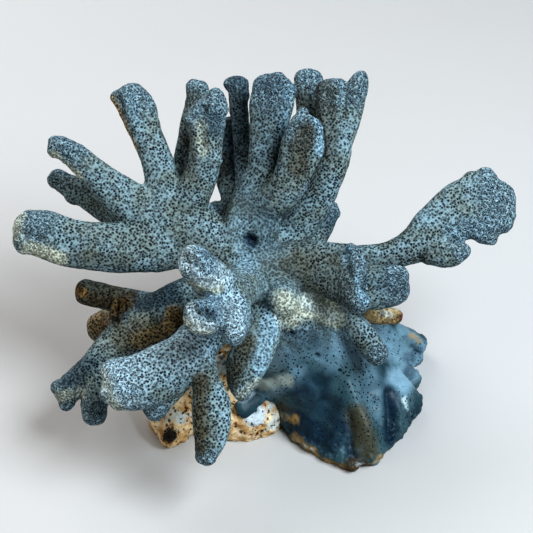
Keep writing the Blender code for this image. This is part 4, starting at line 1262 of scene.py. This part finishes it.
@dataclass(frozen=True)
class Colony:
    """The whole coral: its growths, fused, roughened, cut flat and parted at the forks."""

    growths: tuple = (LeftPalm(), CentreStem(), TallBlades(), RightSide(), FrontArms(),
                      LowLeft(), RearBranches())
    base: TrunkAndCrust = TrunkAndCrust()
    smoothing: int = 23                        # rounds of smoothing that fillet the forks
    lumps: Relief = Relief(9.0, 0.5, 2, 3)     # unevenness of the whole skin
    grain: Relief = Relief(2.6, 0.16, 2, 9)    # finer unevenness of the branches
    knobs: Relief = Relief(4.2, 0.55, 2, 21)   # knobs of the growing ends
    knob_sink: float = 0.055                   # how far the knobs are set in, in mm
    bead_size: float = 1.9                     # beads of the growing ends, in mm
    bead_height: float = 0.22
    bead_seed: int = 33
    bead_level: float = 0.55                   # cell noise that neither lifts nor sinks
    swells: Relief = Relief(5.5, 0.35, 2, 41)  # swells of the crust
    bites: Relief = Relief(5.0, 1.5, 3, 47)    # ragged rim of the crust
    teeth: Relief = Relief(2.2, 0.5, 2, 53)
    rim_top: tuple = (5.0, 17.0)               # heights over which the rim's raggedness ends
    rim_left: tuple = (0.0, 8.0)               # places across over which it starts
    shore: Relief = Relief(14.0, 5.0, 2, 51)   # wander of the crust's upper edge
    crust_top: tuple = (35.0, 53.0)            # heights over which the crust's skin ends
    crust_front: tuple = (3.0, 9.0)            # places out over which it ends
    crust_left: tuple = (-32.0, -15.0)         # places across over which it starts
    limb_clear: tuple = (1.05, 1.6)            # the same, in half widths from a limb's middle
    trunk_share: float = 0.6                   # a place inside the trunk, along its middle line
    patch_wander: Relief = Relief(6.0, 1.8, 2, 61)
    patch_fray: Relief = Relief(1.8, 0.8, 1, 71)

    END_ALONG = (-1.0, -0.35)                  # where a growing end starts and is full, over tip
    END_ASIDE = ((1.25, 2.0), (1.5, 5.0))      # where it fades: share of half width, and mm more
    FLOW_STRETCH = 0.25                        # what a length along a limb counts in streaks
    FLOW_APART = 37.0                          # what parts the streaks of two limbs, in mm
    FLOW_WAY = np.array((0.48, 0.60, 0.64))    # the direction in which lengths are counted

    def limbs(self) -> dict:
        """Every limb of the colony by its name."""
        growths = (*self.growths, self.base)
        return dict(pair for growth in growths for pair in growth.limbs())

    def members(self) -> dict:
        """Groups the limbs by piece.

        Returns:
            The limbs that make up each piece, by the piece's name.
        """
        members = {}
        for name, limb in self.limbs().items():
            members.setdefault(limb.part_of or name, []).append(limb)
        return members

    def skin(self) -> bpy.types.Object:
        """Lofts every limb and the crust, and fuses them into one filleted skin.

        Returns:
            The skin, with its relief.
        """
        shells = []
        for limb in self.limbs().values():
            shells.append(loft(to_world(limb.rings())))
            shells += [loft(to_world(ball_rings(*knob))) for knob in limb.knobs]
        shells.append(loft(self.base.crust.rings() * MM))
        skin = mesh_object("colony", *joined(shells))
        fuse(skin, FINE_VOXEL, self.smoothing)
        self.roughen(skin)
        return skin

    @staticmethod
    def tipness(places: np.ndarray, limbs: Sequence[Limb]) -> np.ndarray:
        """How far each point belongs to the growing end of one of the limbs.

        Along the limb it rises from a tip's length behind the end; across it falls off
        outside the limb's own width.

        Args:
            places: growth-frame rows.
            limbs: the limbs to look at.

        Returns:
            0 to 1 for each row.
        """
        share = np.zeros(len(places))
        for limb in limbs:
            if not limb.tip:
                continue
            end, along = limb.end()
            width = 0.5 * limb.path()[-2 * limb.PATH_STEPS:, 3].max()
            ahead = (places - end) @ along
            aside = np.linalg.norm(places - end - ahead[:, None] * along, axis=1)
            fade = [part * width + more for part, more in Colony.END_ASIDE]
            value = ease(ahead / limb.tip, *Colony.END_ALONG) * (1.0 - ease(aside, *fade))
            share = np.maximum(share, value)
        return share

    def crustness(self, places: np.ndarray) -> np.ndarray:
        """How far each point belongs to the smooth crust.

        It is all of the skin low down at the back and all round the trunk's foot, by height;
        it stops where the skin comes forward, and near the middle line of any branch.

        Args:
            places: growth-frame rows.

        Returns:
            0 to 1 for each row.
        """
        height = to_world(places)[:, 2] / MM + self.shore.at(places)
        share = ease(places[:, 0], *self.crust_left) * (1.0 - ease(height, *self.crust_top))
        share *= 1.0 - ease(places[:, 2], *self.crust_front)
        low = np.flatnonzero(share > 0.0)
        for growth in self.growths:
            for _, limb in growth.limbs():
                nearest = np.full(len(low), np.inf)
                for row in limb.path()[::3]:
                    gap = np.linalg.norm(places[low] - row[:3], axis=1) / (0.5 * row[3:5].max())
                    nearest = np.minimum(nearest, gap)
                share[low] *= ease(nearest, *self.limb_clear)
        return share

    def roughen(self, skin: bpy.types.Object) -> None:
        """Adds the lumps of the branches, the knobs and beads of the tips, and the dents.

        Args:
            skin: the fused skin, which is changed.
        """
        places, normals = vertex_rows(skin.data)
        world, places = places / MM, to_growth(places)
        tip = self.tipness(places, list(self.limbs().values()))
        crust = self.crustness(places)
        bead = cell_noise(world, self.bead_size, self.bead_seed)
        rim = crust * (1.0 - ease(world[:, 2], *self.rim_top)) * ease(world[:, 0], *self.rim_left)
        push = self.lumps.at(world)
        push += (1.0 - crust) * self.grain.at(world)
        push += tip * (self.knobs.at(world) - self.knob_sink)
        push += tip * self.bead_height * (self.bead_level - bead)
        push += crust * self.swells.at(world)
        push += rim * (self.bites.at(world) + self.teeth.at(world))
        facing = np.clip(normals @ FAN_OUT, 0, 1)
        for dent in DENTS:
            push -= dent.push(places, facing)
        move_skin(skin, push)

    def fork_cuts(self) -> dict:
        """Places the cut at the root of each piece, square to its limb's middle line.

        Returns:
            The cuts by the pieces' names.
        """
        middle, reach = np.array(self.base.fork_middle) * MM, self.base.fork_radius * MM
        cuts = {"main_trunk": ForkCut(middle, np.array((0.0, 0.0, 1.0)), reach)}
        for name, limb in self.limbs().items():
            if limb.fork is None:
                continue
            path = limb.path()
            index = limb.fork * (len(path) - 1)
            here = int(index)
            middle = path[here] + (path[here + 1] - path[here]) * (index - here)
            along = np.diff(to_world(path[here:here + 2, :3]), axis=0)[0]
            cuts[name] = ForkCut(to_world(middle[:3]), along / np.linalg.norm(along),
                                 limb.saw * max(middle[3:]) * MM)
        return cuts

    def anchors(self) -> dict:
        """Picks a point in each piece: the tip of its limb, or a point inside the trunk.

        Returns:
            The points in world metres by the pieces' names.
        """
        inside = {"base_crust": np.array(self.base.heart) * MM}
        for name, limb in self.limbs().items():
            if not limb.part_of:
                path = limb.path()
                share = 1.0 if limb.fork else self.trunk_share
                inside[name] = to_world(path[round(share * (len(path) - 1)), :3])
        return inside

    def build(self, block: bpy.types.Object, clearance: bpy.types.Object) -> dict:
        """Builds the colony's pieces.

        Args:
            block: what cuts the base flat.
            clearance: the rubble's outline, grown by the gap round it.

        Returns:
            Each piece by the name of the CAD node it stands for.
        """
        skin = self.skin()
        LOG.info("colony: %d faces in the fused skin", len(skin.data.polygons))
        subtract(skin, block)
        subtract(skin, clearance)
        saw = Saw(skin.data)
        for name, cut in self.fork_cuts().items():
            saw.cut(name, cut)
        bodies = saw.bodies()
        bpy.data.objects.remove(skin)
        pieces, taken = {}, set()
        for name, anchor in self.anchors().items():
            gap = [np.linalg.norm(points - anchor, axis=1).min() for points, _, _ in bodies]
            nearest = int(np.argmin(gap))
            if nearest in taken:
                raise ValueError(f"{name} isn't parted from its neighbour")
            taken.add(nearest)
            pieces[name] = mesh_object("skin_" + name, *bodies[nearest])
        return pieces

    def paint(self, name: str, piece: bpy.types.Object) -> None:
        """Writes what the finish needs to each point: tip, crust, the stains, painted light and
        shade, and the flow.

        Args:
            name: the piece's CAD node.
            piece: the object that is painted.
        """
        places, normals = vertex_rows(piece.data)
        world, places = places / MM, to_growth(places)
        limbs, facing = self.members().get(name, []), normals @ FAN_OUT
        wander = self.patch_wander.at(world) + self.patch_fray.at(world)
        shares = {"tip": self.tipness(places, limbs), "crust": self.crustness(places)}
        for tint, patch_group in TINT_PATCHES.items():
            shares[tint.value] = np.max([tint_patch.share(places, wander, facing)
                                         for tint_patch in patch_group], axis=0)
        for key, share in shares.items():
            layer = piece.data.attributes.new(key, "FLOAT", "POINT")
            layer.data.foreach_set("value", share.astype(np.float32))
        layer = piece.data.attributes.new("flow", "FLOAT_VECTOR", "POINT")
        layer.data.foreach_set("vector", self.flow(places, limbs).astype(np.float32).ravel())

    @staticmethod
    def flow(places: np.ndarray, limbs: Sequence[Limb]) -> np.ndarray:
        """Coordinates that stretch along the limbs, for streaks that run lengthwise.

        At each point it is the offset from the nearest middle line, plus a quarter of the
        length run along that line, counted in a fixed direction.

        Args:
            places: growth-frame rows.
            limbs: the limbs of the piece.

        Returns:
            Rows of stretched millimetres.
        """
        best, result = np.full(len(places), np.inf), places.copy()
        for number, limb in enumerate(limbs):
            path = limb.path()
            run = 0.0
            for start, end in zip(path, path[1:]):
                along = end[:3] - start[:3]
                length = float(np.linalg.norm(along))
                share = np.clip((places - start[:3]) @ along / length ** 2, 0.0, 1.0)
                offset = places - start[:3] - share[:, None] * along
                gap = np.linalg.norm(offset, axis=1) / start[3]
                closer = gap < best
                best = np.where(closer, gap, best)
                counted = (run + share * length) * Colony.FLOW_STRETCH + Colony.FLOW_APART * number
                rows = offset + counted[:, None] * Colony.FLOW_WAY
                result = np.where(closer[:, None], rows, result)
                run += length
        return result


@dataclass(frozen=True)
class Rubble:
    """The loose block of old limestone that the colony grew on."""

    mound: Mound = Mound(
        edge=((-38, -33, 8), (-33, -30, 11), (-28, -26, 15), (-20, -26, 17), (-13, -28, 13),
              (-4, -28, 12), (4, -24, 10), (7, -17, 10), (-4, -8, 13), (-8, 4, 15),
              (-13, 13, 15), (-20, 17, 14), (-32, 13, 12), (-41, 2, 12), (-47, -10, 12),
              (-47, -18, 11), (-44, -26, 9)),
        middle=(-20, -6), peak=25.0, shape=0.6)
    smoothing: int = 6
    ledges: Relief = Relief(9.0, 1.5, 3, 5)
    lumps: Relief = Relief(3.0, 0.6, 2, 45)
    grit: Relief = Relief(1.5, 0.3, 2, 35)
    pits: Pits = Pits(3.4, 3.4, 0.42, 0.4, 15)
    holes: Pits = Pits(7.5, 7.0, 0.30, 0.3, 25)
    shift: float = 0.8            # how far the ledges shift the pits, over their own height
    gap: float = 0.7              # clearance between the rubble and the crust, in mm
    clearance_voxel: float = 1.0

    def build(self, block: bpy.types.Object) -> tuple:
        """Builds the block, flat underneath, and its outline grown by the gap.

        Args:
            block: what cuts the base flat.

        Returns:
            The rubble, and the clearance that is cut from the crust.
        """
        rubble = mesh_object("skin_limestone_rubble", *loft(self.mound.rings() * MM))
        fuse(rubble, FINE_VOXEL, self.smoothing)
        world = vertex_rows(rubble.data)[0] / MM
        ledges = self.ledges.at(world)
        sunk = self.pits.at(world + self.shift * ledges[:, None]) + self.holes.at(world)
        move_skin(rubble, ledges + self.lumps.at(world) + self.grit.at(world) - sunk)
        subtract(rubble, block)
        rubble.data.shade_smooth()
        clearance = linked("rubble_clearance", rubble.data.copy())
        move_skin(clearance, np.full(len(clearance.data.vertices), self.gap))
        fuse(clearance, self.clearance_voxel, 0)
        return rubble, clearance


# ---- shader maths ------------------------------------------------------------------------

Value = Union["Wire", float]
Colour = Union["Wire", tuple]


class Wire:
    """One output of a shader node, which takes + - * and / with wires and numbers."""

    def __init__(self, net: "ShaderNet", socket: bpy.types.NodeSocket) -> None:
        """Keeps the network and the output socket that the wire starts from."""
        self.net = net
        self.socket = socket

    def __add__(self, other: Value) -> "Wire":
        """Sum."""
        return self.net.maths("ADD", self, other)

    def __sub__(self, other: Value) -> "Wire":
        """Difference."""
        return self.net.maths("SUBTRACT", self, other)

    def __rsub__(self, other: Value) -> "Wire":
        """Difference, with the number first."""
        return self.net.maths("SUBTRACT", other, self)

    def __mul__(self, other: Value) -> "Wire":
        """Product."""
        return self.net.maths("MULTIPLY", self, other)

    def __truediv__(self, other: Value) -> "Wire":
        """Quotient."""
        return self.net.maths("DIVIDE", self, other)

    def __rtruediv__(self, other: Value) -> "Wire":
        """Quotient, with the number first."""
        return self.net.maths("DIVIDE", other, self)

    __radd__ = __add__            # a sum and a product are the same either way round
    __rmul__ = __mul__

    def step(self, start: float, end: float) -> "Wire":
        """Smooth step from 0 at start to 1 at end, upwards or downwards.

        Args:
            start: the value that gives 0.
            end: the value that gives 1.

        Returns:
            The stepped value.
        """
        ends = (start, end, 0.0, 1.0) if start < end else (end, start, 1.0, 0.0)
        node = self.net.node("ShaderNodeMapRange", {"interpolation_type": "SMOOTHSTEP"},
                             {0: self, **dict(enumerate(ends, start=1))})
        return self.net.wire(node, "Result")


class ShaderNet:
    """The node network of one material, with millimetre Object coordinates to start from."""

    TURN = (0.6, 0.9, 0.35)       # turns the lattice of cells off the axes, in radians
    UNEVEN = 0.88                 # randomness of the cells
    WALL = (0.05, 0.20)           # from the wall between two cells to inside, over the spacing
    COAT_ROUGHNESS = 0.25
    SPECULAR = 0.2                # level of the plain reflection, for dull stone

    def __init__(self, name: str) -> None:
        """Makes a material that holds only a Principled shader and its output.

        Args:
            name: the material's name.
        """
        self.material = bpy.data.materials.new(name)
        self.material.use_nodes = True
        self.tree = self.material.node_tree
        self.shader = self.tree.nodes["Principled BSDF"]
        coordinates = self.node("ShaderNodeTexCoord", {}, {})
        self.place = self.vector("SCALE", self.wire(coordinates, "Object"), 1.0 / MM)

    def node(self, kind: str, settings: dict, inputs: dict) -> bpy.types.Node:
        """Adds a node.

        Args:
            kind: the node's type.
            settings: its properties by name.
            inputs: its inputs by name or number: wires are linked, other values are set.

        Returns:
            The new node.
        """
        node = self.tree.nodes.new(kind)
        for key, value in settings.items():
            setattr(node, key, value)
        for key, value in inputs.items():
            self.feed(node.inputs[key], value)
        return node

    def feed(self, socket: bpy.types.NodeSocket, value: Union[Value, Colour]) -> None:
        """Links a wire to an input, or sets the input to a constant.

        Args:
            socket: the input.
            value: a wire, a number or a tuple.
        """
        if isinstance(value, Wire):
            self.tree.links.new(value.socket, socket)
        elif socket.type == "RGBA":
            socket.default_value = (*value[:3], 1.0)
        else:
            socket.default_value = value

    def wire(self, node: bpy.types.Node, output: Union[str, int] = 0) -> Wire:
        """Wraps one of a node's outputs."""
        return Wire(self, node.outputs[output])

    def maths(self, operation: str, first: Value, second: Value) -> Wire:
        """The result of a Math node."""
        return self.wire(self.node("ShaderNodeMath", {"operation": operation},
                                   {0: first, 1: second}))

    def vector(self, operation: str, first: Wire, second: Union[Value, Colour]) -> Wire:
        """Adds a Vector Math node.

        Args:
            operation: what the node does.
            first: a vector.
            second: a vector, or the number that SCALE takes.

        Returns:
            The resulting vector, or the number that DISTANCE gives.
        """
        slot = 3 if operation == "SCALE" else 1
        node = self.node("ShaderNodeVectorMath", {"operation": operation},
                         {0: first, slot: second})
        return self.wire(node, "Value" if operation == "DISTANCE" else "Vector")

    def mix(self, share: Value, first: Colour, second: Colour) -> Wire:
        """Mixes two colours.

        Args:
            share: how much of the second, 0 to 1.
            first: the colour at 0.
            second: the colour at 1.

        Returns:
            The mixed colour.
        """
        node = self.node("ShaderNodeMix", {"data_type": "RGBA"}, {0: share, 6: first, 7: second})
        return self.wire(node, 2)

    def noise(self, size: float, detail: float = 2.0, place: Optional[Wire] = None,
              output: str = "Fac") -> Wire:
        """Adds noise from about 0 to 1.

        Args:
            size: spacing of its lumps, in millimetres.
            detail: how many finer octaves are added.
            place: where it is read, by default the point itself.
            output: "Fac" for one number, "Color" for three.

        Returns:
            The noise.
        """
        node = self.node("ShaderNodeTexNoise", {"noise_dimensions": "3D"},
                         {"Vector": place or self.place, "Scale": 1.0 / size, "Detail": detail})
        return self.wire(node, output)

    def cells(self, size: float, warp: float) -> tuple:
        """Voronoi cells whose places are shaken by noise.

        Args:
            size: spacing of the cells, in millimetres.
            warp: how far they are shaken, in millimetres.

        Returns:
            The distance to the nearest cell's point over the spacing, a random value that
            is the same all over a cell, and 0 on the walls between the cells, 1 inside.
        """
        shake = self.vector("SUBTRACT", self.noise(size / 1.3, 1.0, output="Color"), (0.5,) * 3)
        place = self.vector("ADD", self.place, self.vector("SCALE", shake, 2.0 * warp))
        turned = self.node("ShaderNodeMapping", {}, {"Vector": place, "Rotation": self.TURN})
        inputs = {"Vector": self.wire(turned), "Scale": 1.0 / size, "Randomness": self.UNEVEN}
        near, beyond = (self.node("ShaderNodeTexVoronoi", {"voronoi_dimensions": "3D",
                                                           "feature": feature}, inputs)
                        for feature in ("F1", "F2"))
        pick = self.node("ShaderNodeSeparateColor", {}, {0: self.wire(near, "Color")})
        far = self.wire(near, "Distance")
        wall = (self.wire(beyond, "Distance") - far).step(*self.WALL)
        return far, self.wire(pick, 0), wall

    def attribute(self, name: str, output: str = "Fac") -> Wire:
        """What the mesh carries at its points: a value, or with the output "Vector" a vector."""
        return self.wire(self.node("ShaderNodeAttribute", {"attribute_name": name}, {}), output)

    def finish(self, colour: Wire, roughness: Value, height: Wire, coat: Value = 0.0) -> None:
        """Plugs the results into the shader.

        Args:
            colour: base colour.
            roughness: surface roughness.
            height: relief in millimetres.
            coat: weight of the glossy coat.
        """
        bump = self.node("ShaderNodeBump", {}, {"Strength": 1.0, "Distance": MM,
                                                "Height": height})
        for name, value in (("Base Color", colour), ("Roughness", roughness),
                            ("Coat Weight", coat), ("Normal", self.wire(bump, "Normal"))):
            self.feed(self.shader.inputs[name], value)
        self.shader.inputs["Coat Roughness"].default_value = self.COAT_ROUGHNESS
        self.shader.inputs["Specular IOR Level"].default_value = self.SPECULAR


# ---- finishes ----------------------------------------------------------------------------

@dataclass(frozen=True)
class CoralFinish:
    """Blue ridge coral: a pale network round dark pores, blue and streaked at the tips."""

    base: tuple = (0.215, 0.305, 0.340)
    shade: tuple = (0.180, 0.232, 0.228)
    pore: tuple = (0.004, 0.008, 0.014)
    tip_under: tuple = (0.095, 0.175, 0.235)
    tip_grain: tuple = (0.330, 0.440, 0.485)
    crust_mid: tuple = (0.046, 0.100, 0.118)
    crust_dark: tuple = (0.011, 0.037, 0.052)
    crust_light: tuple = (0.110, 0.215, 0.265)
    # colours of the tints, in order: painted light, painted shade, painted warm shade, cream with
    # some painted light, ochre, brown, rust, white grain with some painted light
    tints: tuple = ((Tint.PAINTED_LIGHT, (0.300, 0.475, 0.590)), (Tint.DEEP, (0.009, 0.032, 0.058)),
                    (Tint.PAINTED_WARM_SHADE, (0.080, 0.072, 0.042)), (Tint.CREAM_AND_WARM_LIGHT, (0.640, 0.680, 0.560)),
                    (Tint.OCHRE, (0.420, 0.285, 0.115)), (Tint.BROWN, (0.060, 0.036, 0.014)),
                    (Tint.RUST, (0.110, 0.012, 0.008)), (Tint.FROST_AND_LIGHT, (0.560, 0.680, 0.720)))
    grain: float = 0.5                    # spacing of the fine grain, in mm
    streaks: tuple = (0.60, 0.70)         # of the round and the lengthwise grain on the ends
    blotches: float = 9.0                 # of the branches' duller and paler blotches
    clouds: tuple = (17.0, 12.0)          # of the crust's dark and light clouds
    mottle: float = 2.4                   # of what breaks up the stains and the painted light and shade
    wide_patches: float = 14.0            # of the patches of wider pores
    open_patches: float = 21.0            # of the patches of crust that have pores
    pores: tuple = (0.97, 0.16)           # spacing and shake of the branches' pores, in mm
    tip_pores: tuple = (0.66, 0.10)       # the same at the growing ends
    crust_pores: tuple = (1.20, 0.25)     # the same on the crust
    roughness: float = 0.72
    coat: float = 0.12                    # weight of the gloss on the crust

    def material(self) -> bpy.types.Material:
        """Builds the material that every coral piece wears.

        Returns:
            The material.
        """
        net = ShaderNet("blue_ridge_coral_skin")
        tip, crust = net.attribute("tip"), net.attribute("crust")
        grain = net.noise(self.grain, 3.0)
        round_grain, long_grain = self.streaks
        streaks = (0.45 * net.noise(round_grain)
                   + 0.55 * net.noise(long_grain, 2.0, net.attribute("flow", "Vector")))
        pores, network = self.pore_shares(net, tip, crust)
        colour = self.skin_colour(net, tip, crust, streaks)
        # the grain and the painted shade round the pores scale the colour
        colour = net.vector("SCALE", colour, (0.60 + 0.80 * grain) * network)
        colour = net.mix(pores * 0.95, colour, self.pore)
        roughness = (self.roughness - 0.20 * crust) + 0.20 * pores
        height = (0.22 * grain * (1.0 - 0.75 * crust) - 0.38 * pores
                  + 0.16 * tip * streaks.step(0.40, 0.62))
        net.finish(colour, roughness, height, self.coat * crust)
        return net.material

    def pore_shares(self, net: ShaderNet, tip: Wire, crust: Wire) -> tuple:
        """Lays out the pores: round holes at the cells' points, each with its own width.

        Args:
            net: the network that they are added to.
            tip: share of the growing ends, whose pores are smaller and closer.
            crust: share of the crust, whose pores come and go in patches.

        Returns:
            1 in a pore and 0 outside, and the brightness of the network between pores, which
            carries painted shade round each pore.
        """
        porous = net.attribute(Tint.POROUS.value)
        far, pick, wall = net.cells(*self.pores)
        fine, fine_pick, _ = net.cells(*self.tip_pores)
        few, few_pick, _ = net.cells(*self.crust_pores)
        spread = 0.08 * net.noise(self.wide_patches).step(0.35, 0.65)
        width = 0.14 + 0.23 * pick + spread - 0.18 * porous
        pores = (far - width).step(0.05, -0.04) * wall
        tip_pores = (fine - (0.24 + 0.18 * fine_pick)).step(0.07, -0.05)
        patchy = 0.8 * net.noise(self.open_patches, 1.0).step(0.50, 0.60)
        open_skin = porous + patchy * (1.0 - porous)
        width = (0.30 * few_pick - 0.15) * (1.0 - open_skin) + (0.17 + 0.16 * few_pick) * open_skin
        crust_pores = (few - width).step(0.05, -0.03)
        pores = pores * (1.0 - tip) + tip_pores * tip
        pores = pores * (1.0 - crust) + crust_pores * crust
        pores = pores * (1.0 - 0.55 * net.attribute(Tint.CREAM_AND_WARM_LIGHT.value))
        # painted shade round each pore: darker near a pore, lighter between pores
        network = 0.50 + 0.75 * far.step(0.38, 0.78)
        return pores, network * (1.0 - crust) + 0.95 * crust

    def skin_colour(self, net: ShaderNet, tip: Wire, crust: Wire, streaks: Wire) -> Wire:
        """Colours the skin between the pores: branches, tips, crust, then the stains and painted
        light and shade.

        Args:
            net: the network that the colours are added to.
            tip: share of the growing ends.
            crust: share of the crust.
            streaks: lengthwise grain of the growing ends.

        Returns:
            The colour.
        """
        colour = net.mix(net.noise(self.blotches, 3.0).step(0.36, 0.62), self.shade, self.base)
        ends = net.mix(streaks.step(0.38, 0.62), self.tip_under, self.tip_grain)
        colour = net.mix(tip * 0.80, colour, ends)
        dark, light = self.clouds
        skin = net.mix(net.noise(dark, 3.0).step(0.36, 0.58), self.crust_dark, self.crust_mid)
        skin = net.mix(net.noise(light, 3.0).step(0.52, 0.74), skin, self.crust_light)
        colour = net.mix(crust, colour, skin)
        mottle = 0.70 + 0.45 * net.noise(self.mottle, 3.0)
        # lays the stains and the painted light and shade over the skin
        for tint, shown in self.tints:
            colour = net.mix(net.attribute(tint.value) * mottle, colour, shown)
        return colour


@dataclass(frozen=True)
class LimestoneFinish:
    """Old limestone: cream to tan, pitted, with rusty and black spots."""

    tan: tuple = (0.560, 0.360, 0.160)
    black: tuple = (0.020, 0.014, 0.008)
    # (spacing in mm, detail, step, colour) of the cream, grey and rusty blotches over the tan
    blotches: tuple = ((5.0, 4.0, (0.38, 0.62), (0.860, 0.700, 0.470)),
                       (9.0, 2.0, (0.55, 0.68), (0.620, 0.670, 0.640)),
                       (3.2, 3.0, (0.60, 0.72), (0.360, 0.150, 0.040)))
    grain: float = 0.6                    # spacing of the grain, in mm
    spots: float = 2.3                    # of the black spots
    aside: tuple = (31.0, 7.0, 11.0)      # what parts the spots' noise from the blotches', in mm
    # (place in world mm, radius, colour) of the black corner, two holes and the pale chunk
    patches: tuple = (((-36.8, -33.0, 8.0), 4.0, (0.030, 0.026, 0.020)),
                      ((-29.2, -20.7, 18.8), 1.2, (0.012, 0.008, 0.005)),
                      ((-21.0, -24.0, 13.0), 1.0, (0.020, 0.012, 0.006)),
                      ((-3.9, -25.7, 12.8), 5.2, (0.560, 0.640, 0.680)))
    pits: tuple = (1.9, 0.7)              # spacing and shake of the fine pits, in mm
    roughness: float = 0.85

    def material(self) -> bpy.types.Material:
        """Builds the material of the rubble.

        Returns:
            The material.
        """
        net = ShaderNet("old_limestone")
        far, pick, _ = net.cells(*self.pits)
        pits = (far - 0.28 * pick).step(0.16, 0.0)
        grain, colour = net.noise(self.grain, 3.0), self.tan
        for spacing, detail, ends, shown in self.blotches:
            colour = net.mix(net.noise(spacing, detail).step(*ends), colour, shown)
        colour = net.vector("SCALE", colour, 0.7 + 0.6 * grain)
        spots = net.noise(self.spots, 2.0, net.vector("ADD", net.place, self.aside))
        colour = net.mix(spots.step(0.66, 0.72), colour, self.black)
        for middle, radius, shown in self.patches:
            gap = net.vector("DISTANCE", net.place, middle) / radius + 1.6 * (grain - 0.5)
            colour = net.mix(gap.step(1.15, 0.75), colour, shown)
        colour = net.mix(pits * 0.8, colour, self.black)
        net.finish(colour, self.roughness, 0.45 * grain - 0.6 * pits)
        return net.material


@dataclass(frozen=True)
class FloorFinish:
    """A plain pale table top with the faintest mottling."""

    low: tuple = (0.495, 0.49005, 0.4851)
    high: tuple = (0.505, 0.49995, 0.4949)
    roughness: float = 0.6

    def material(self) -> bpy.types.Material:
        """Builds the material of the floor.

        Returns:
            The material.
        """
        net = ShaderNet("pale_table")
        colour = net.mix(net.noise(60.0), self.low, self.high)
        net.finish(colour, self.roughness, 0.01 * net.noise(2.0, 1.0))
        return net.material


# ---- the studio --------------------------------------------------------------------------

@dataclass(frozen=True)
class Lamp:
    """A soft square light that looks at the fork of the colony."""

    place: tuple                  # metres
    side: float                   # metres
    power: float                  # watts
    colour: tuple

    def build(self, name: str, target: Vector) -> None:
        """Hangs the lamp.

        Args:
            name: the lamp's name.
            target: the point that it faces.
        """
        data = bpy.data.lights.new(name, "AREA")
        data.size = self.side
        data.energy = self.power
        data.color = self.colour
        lamp = linked(name, data)
        lamp.location = self.place
        lamp.rotation_euler = (target - Vector(self.place)).to_track_quat("-Z", "Y").to_euler()


@dataclass(frozen=True)
class Studio:
    """Floor, soft light and the camera that looks down along the lean of the fan."""

    floor_radii: tuple = (0.02, 0.5, 1.2, 2.0)    # rings of the round floor, in metres
    floor_drop: float = 0.0002                    # gap between the floor and the cut, in metres
    lens: float = 100.0
    sensor: float = 36.0
    distance: float = 0.5626
    aim: tuple = (0.57, 1.33)     # mm right of and above the fork, where the view is centred
    ambient: tuple = (0.93, 0.95, 0.97)
    ambient_strength: float = 0.16
    key: Lamp = Lamp((0.42, -0.26, 0.70), 0.46, 7.8, (0.86, 0.94, 1.0))
    fill: Lamp = Lamp((-0.60, -0.20, 0.40), 0.5, 1.0, (1.0, 0.84, 0.64))
    back: Lamp = Lamp((-0.45, 0.55, 0.60), 0.7, 4.8, (0.95, 0.97, 1.0))

    def build(self) -> None:
        """Sets up the floor, the lights, the surround and the camera."""
        fork = Vector((0.0, 0.0, FORK_HEIGHT * MM))
        self.floor()
        self.surround()
        self.key.build("key", fork)
        self.fill.build("fill", fork)
        self.back.build("back", fork)
        self.camera(fork)

    def floor(self) -> None:
        """Lays the round floor: rings of growing radius, open underneath."""
        turn = np.linspace(0.0, 2 * math.pi, 48, endpoint=False)[None]
        radius = np.array(self.floor_radii)[:, None]
        rings = np.stack([radius * np.cos(turn), radius * np.sin(turn),
                          0.0 * (radius + turn) - self.floor_drop], axis=-1)
        points, faces = loft(rings)
        underside = len(points) - 1
        floor = mesh_object("floor", points[:-1], [face for face in faces
                                                   if underside not in face])
        floor.data.materials.append(FloorFinish().material())

    def surround(self) -> None:
        """Sets the plain light that comes from all round, and the contrast of the view."""
        world = bpy.data.worlds.new("surround")
        world.use_nodes = True
        background = world.node_tree.nodes["Background"]
        background.inputs["Color"].default_value = (*self.ambient, 1.0)
        background.inputs["Strength"].default_value = self.ambient_strength
        scene = bpy.context.scene
        scene.world = world
        scene.view_settings.view_transform = "Standard"
        scene.view_settings.look = "High Contrast"

    def camera(self, fork: Vector) -> None:
        """Puts up the camera, which looks down along the lean of the fan.

        Args:
            fork: the main fork's place in world metres.
        """
        forward = Vector((0.0, math.cos(FAN_LEAN), -math.sin(FAN_LEAN)))
        upward = Vector((0.0, math.sin(FAN_LEAN), math.cos(FAN_LEAN)))
        target = fork + (Vector((1.0, 0.0, 0.0)) * self.aim[0] + upward * self.aim[1]) * MM
        data = bpy.data.cameras.new("camera")
        data.lens = self.lens
        data.sensor_width = self.sensor
        data.clip_start = 0.01
        camera = linked("camera", data)
        camera.location = target - forward * self.distance
        camera.rotation_euler = forward.to_track_quat("-Z", "Y").to_euler()
        bpy.context.scene.camera = camera


class Slot(Enum):
    """The record's material slots."""

    CORAL = "coral_stone"
    CRUST = "crust_stone"
    WORN = "worn_stone"
    LIMESTONE = "limestone"


def mount(piece: bpy.types.Object, node: str, material: bpy.types.Material) -> None:
    """Puts a finished piece in the place of its CAD node.

    Args:
        piece: the finished piece.
        node: the CAD node that it stands for.
        material: what it wears.
    """
    piece.data.materials.clear()
    piece.data.materials.append(material)
    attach(piece, "root")
    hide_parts(node)
    LOG.info("%s: %d triangles", node, len(piece.data.polygons))


def main() -> None:
    """Builds the studio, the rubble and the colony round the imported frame."""
    logging.basicConfig(level=logging.INFO, format="%(name)s: %(message)s")
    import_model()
    Studio().build()
    block = base_block()
    rubble, clearance = Rubble().build(block)
    colony = Colony()
    pieces = colony.build(block, clearance)
    for helper in (block, clearance):
        bpy.data.objects.remove(helper)
    coral = CoralFinish().material()
    for name, piece in pieces.items():
        colony.paint(name, piece)
        mount(piece, name, coral)
    mount(rubble, "limestone_rubble", LimestoneFinish().material())


if __name__ == "__main__":
    main()
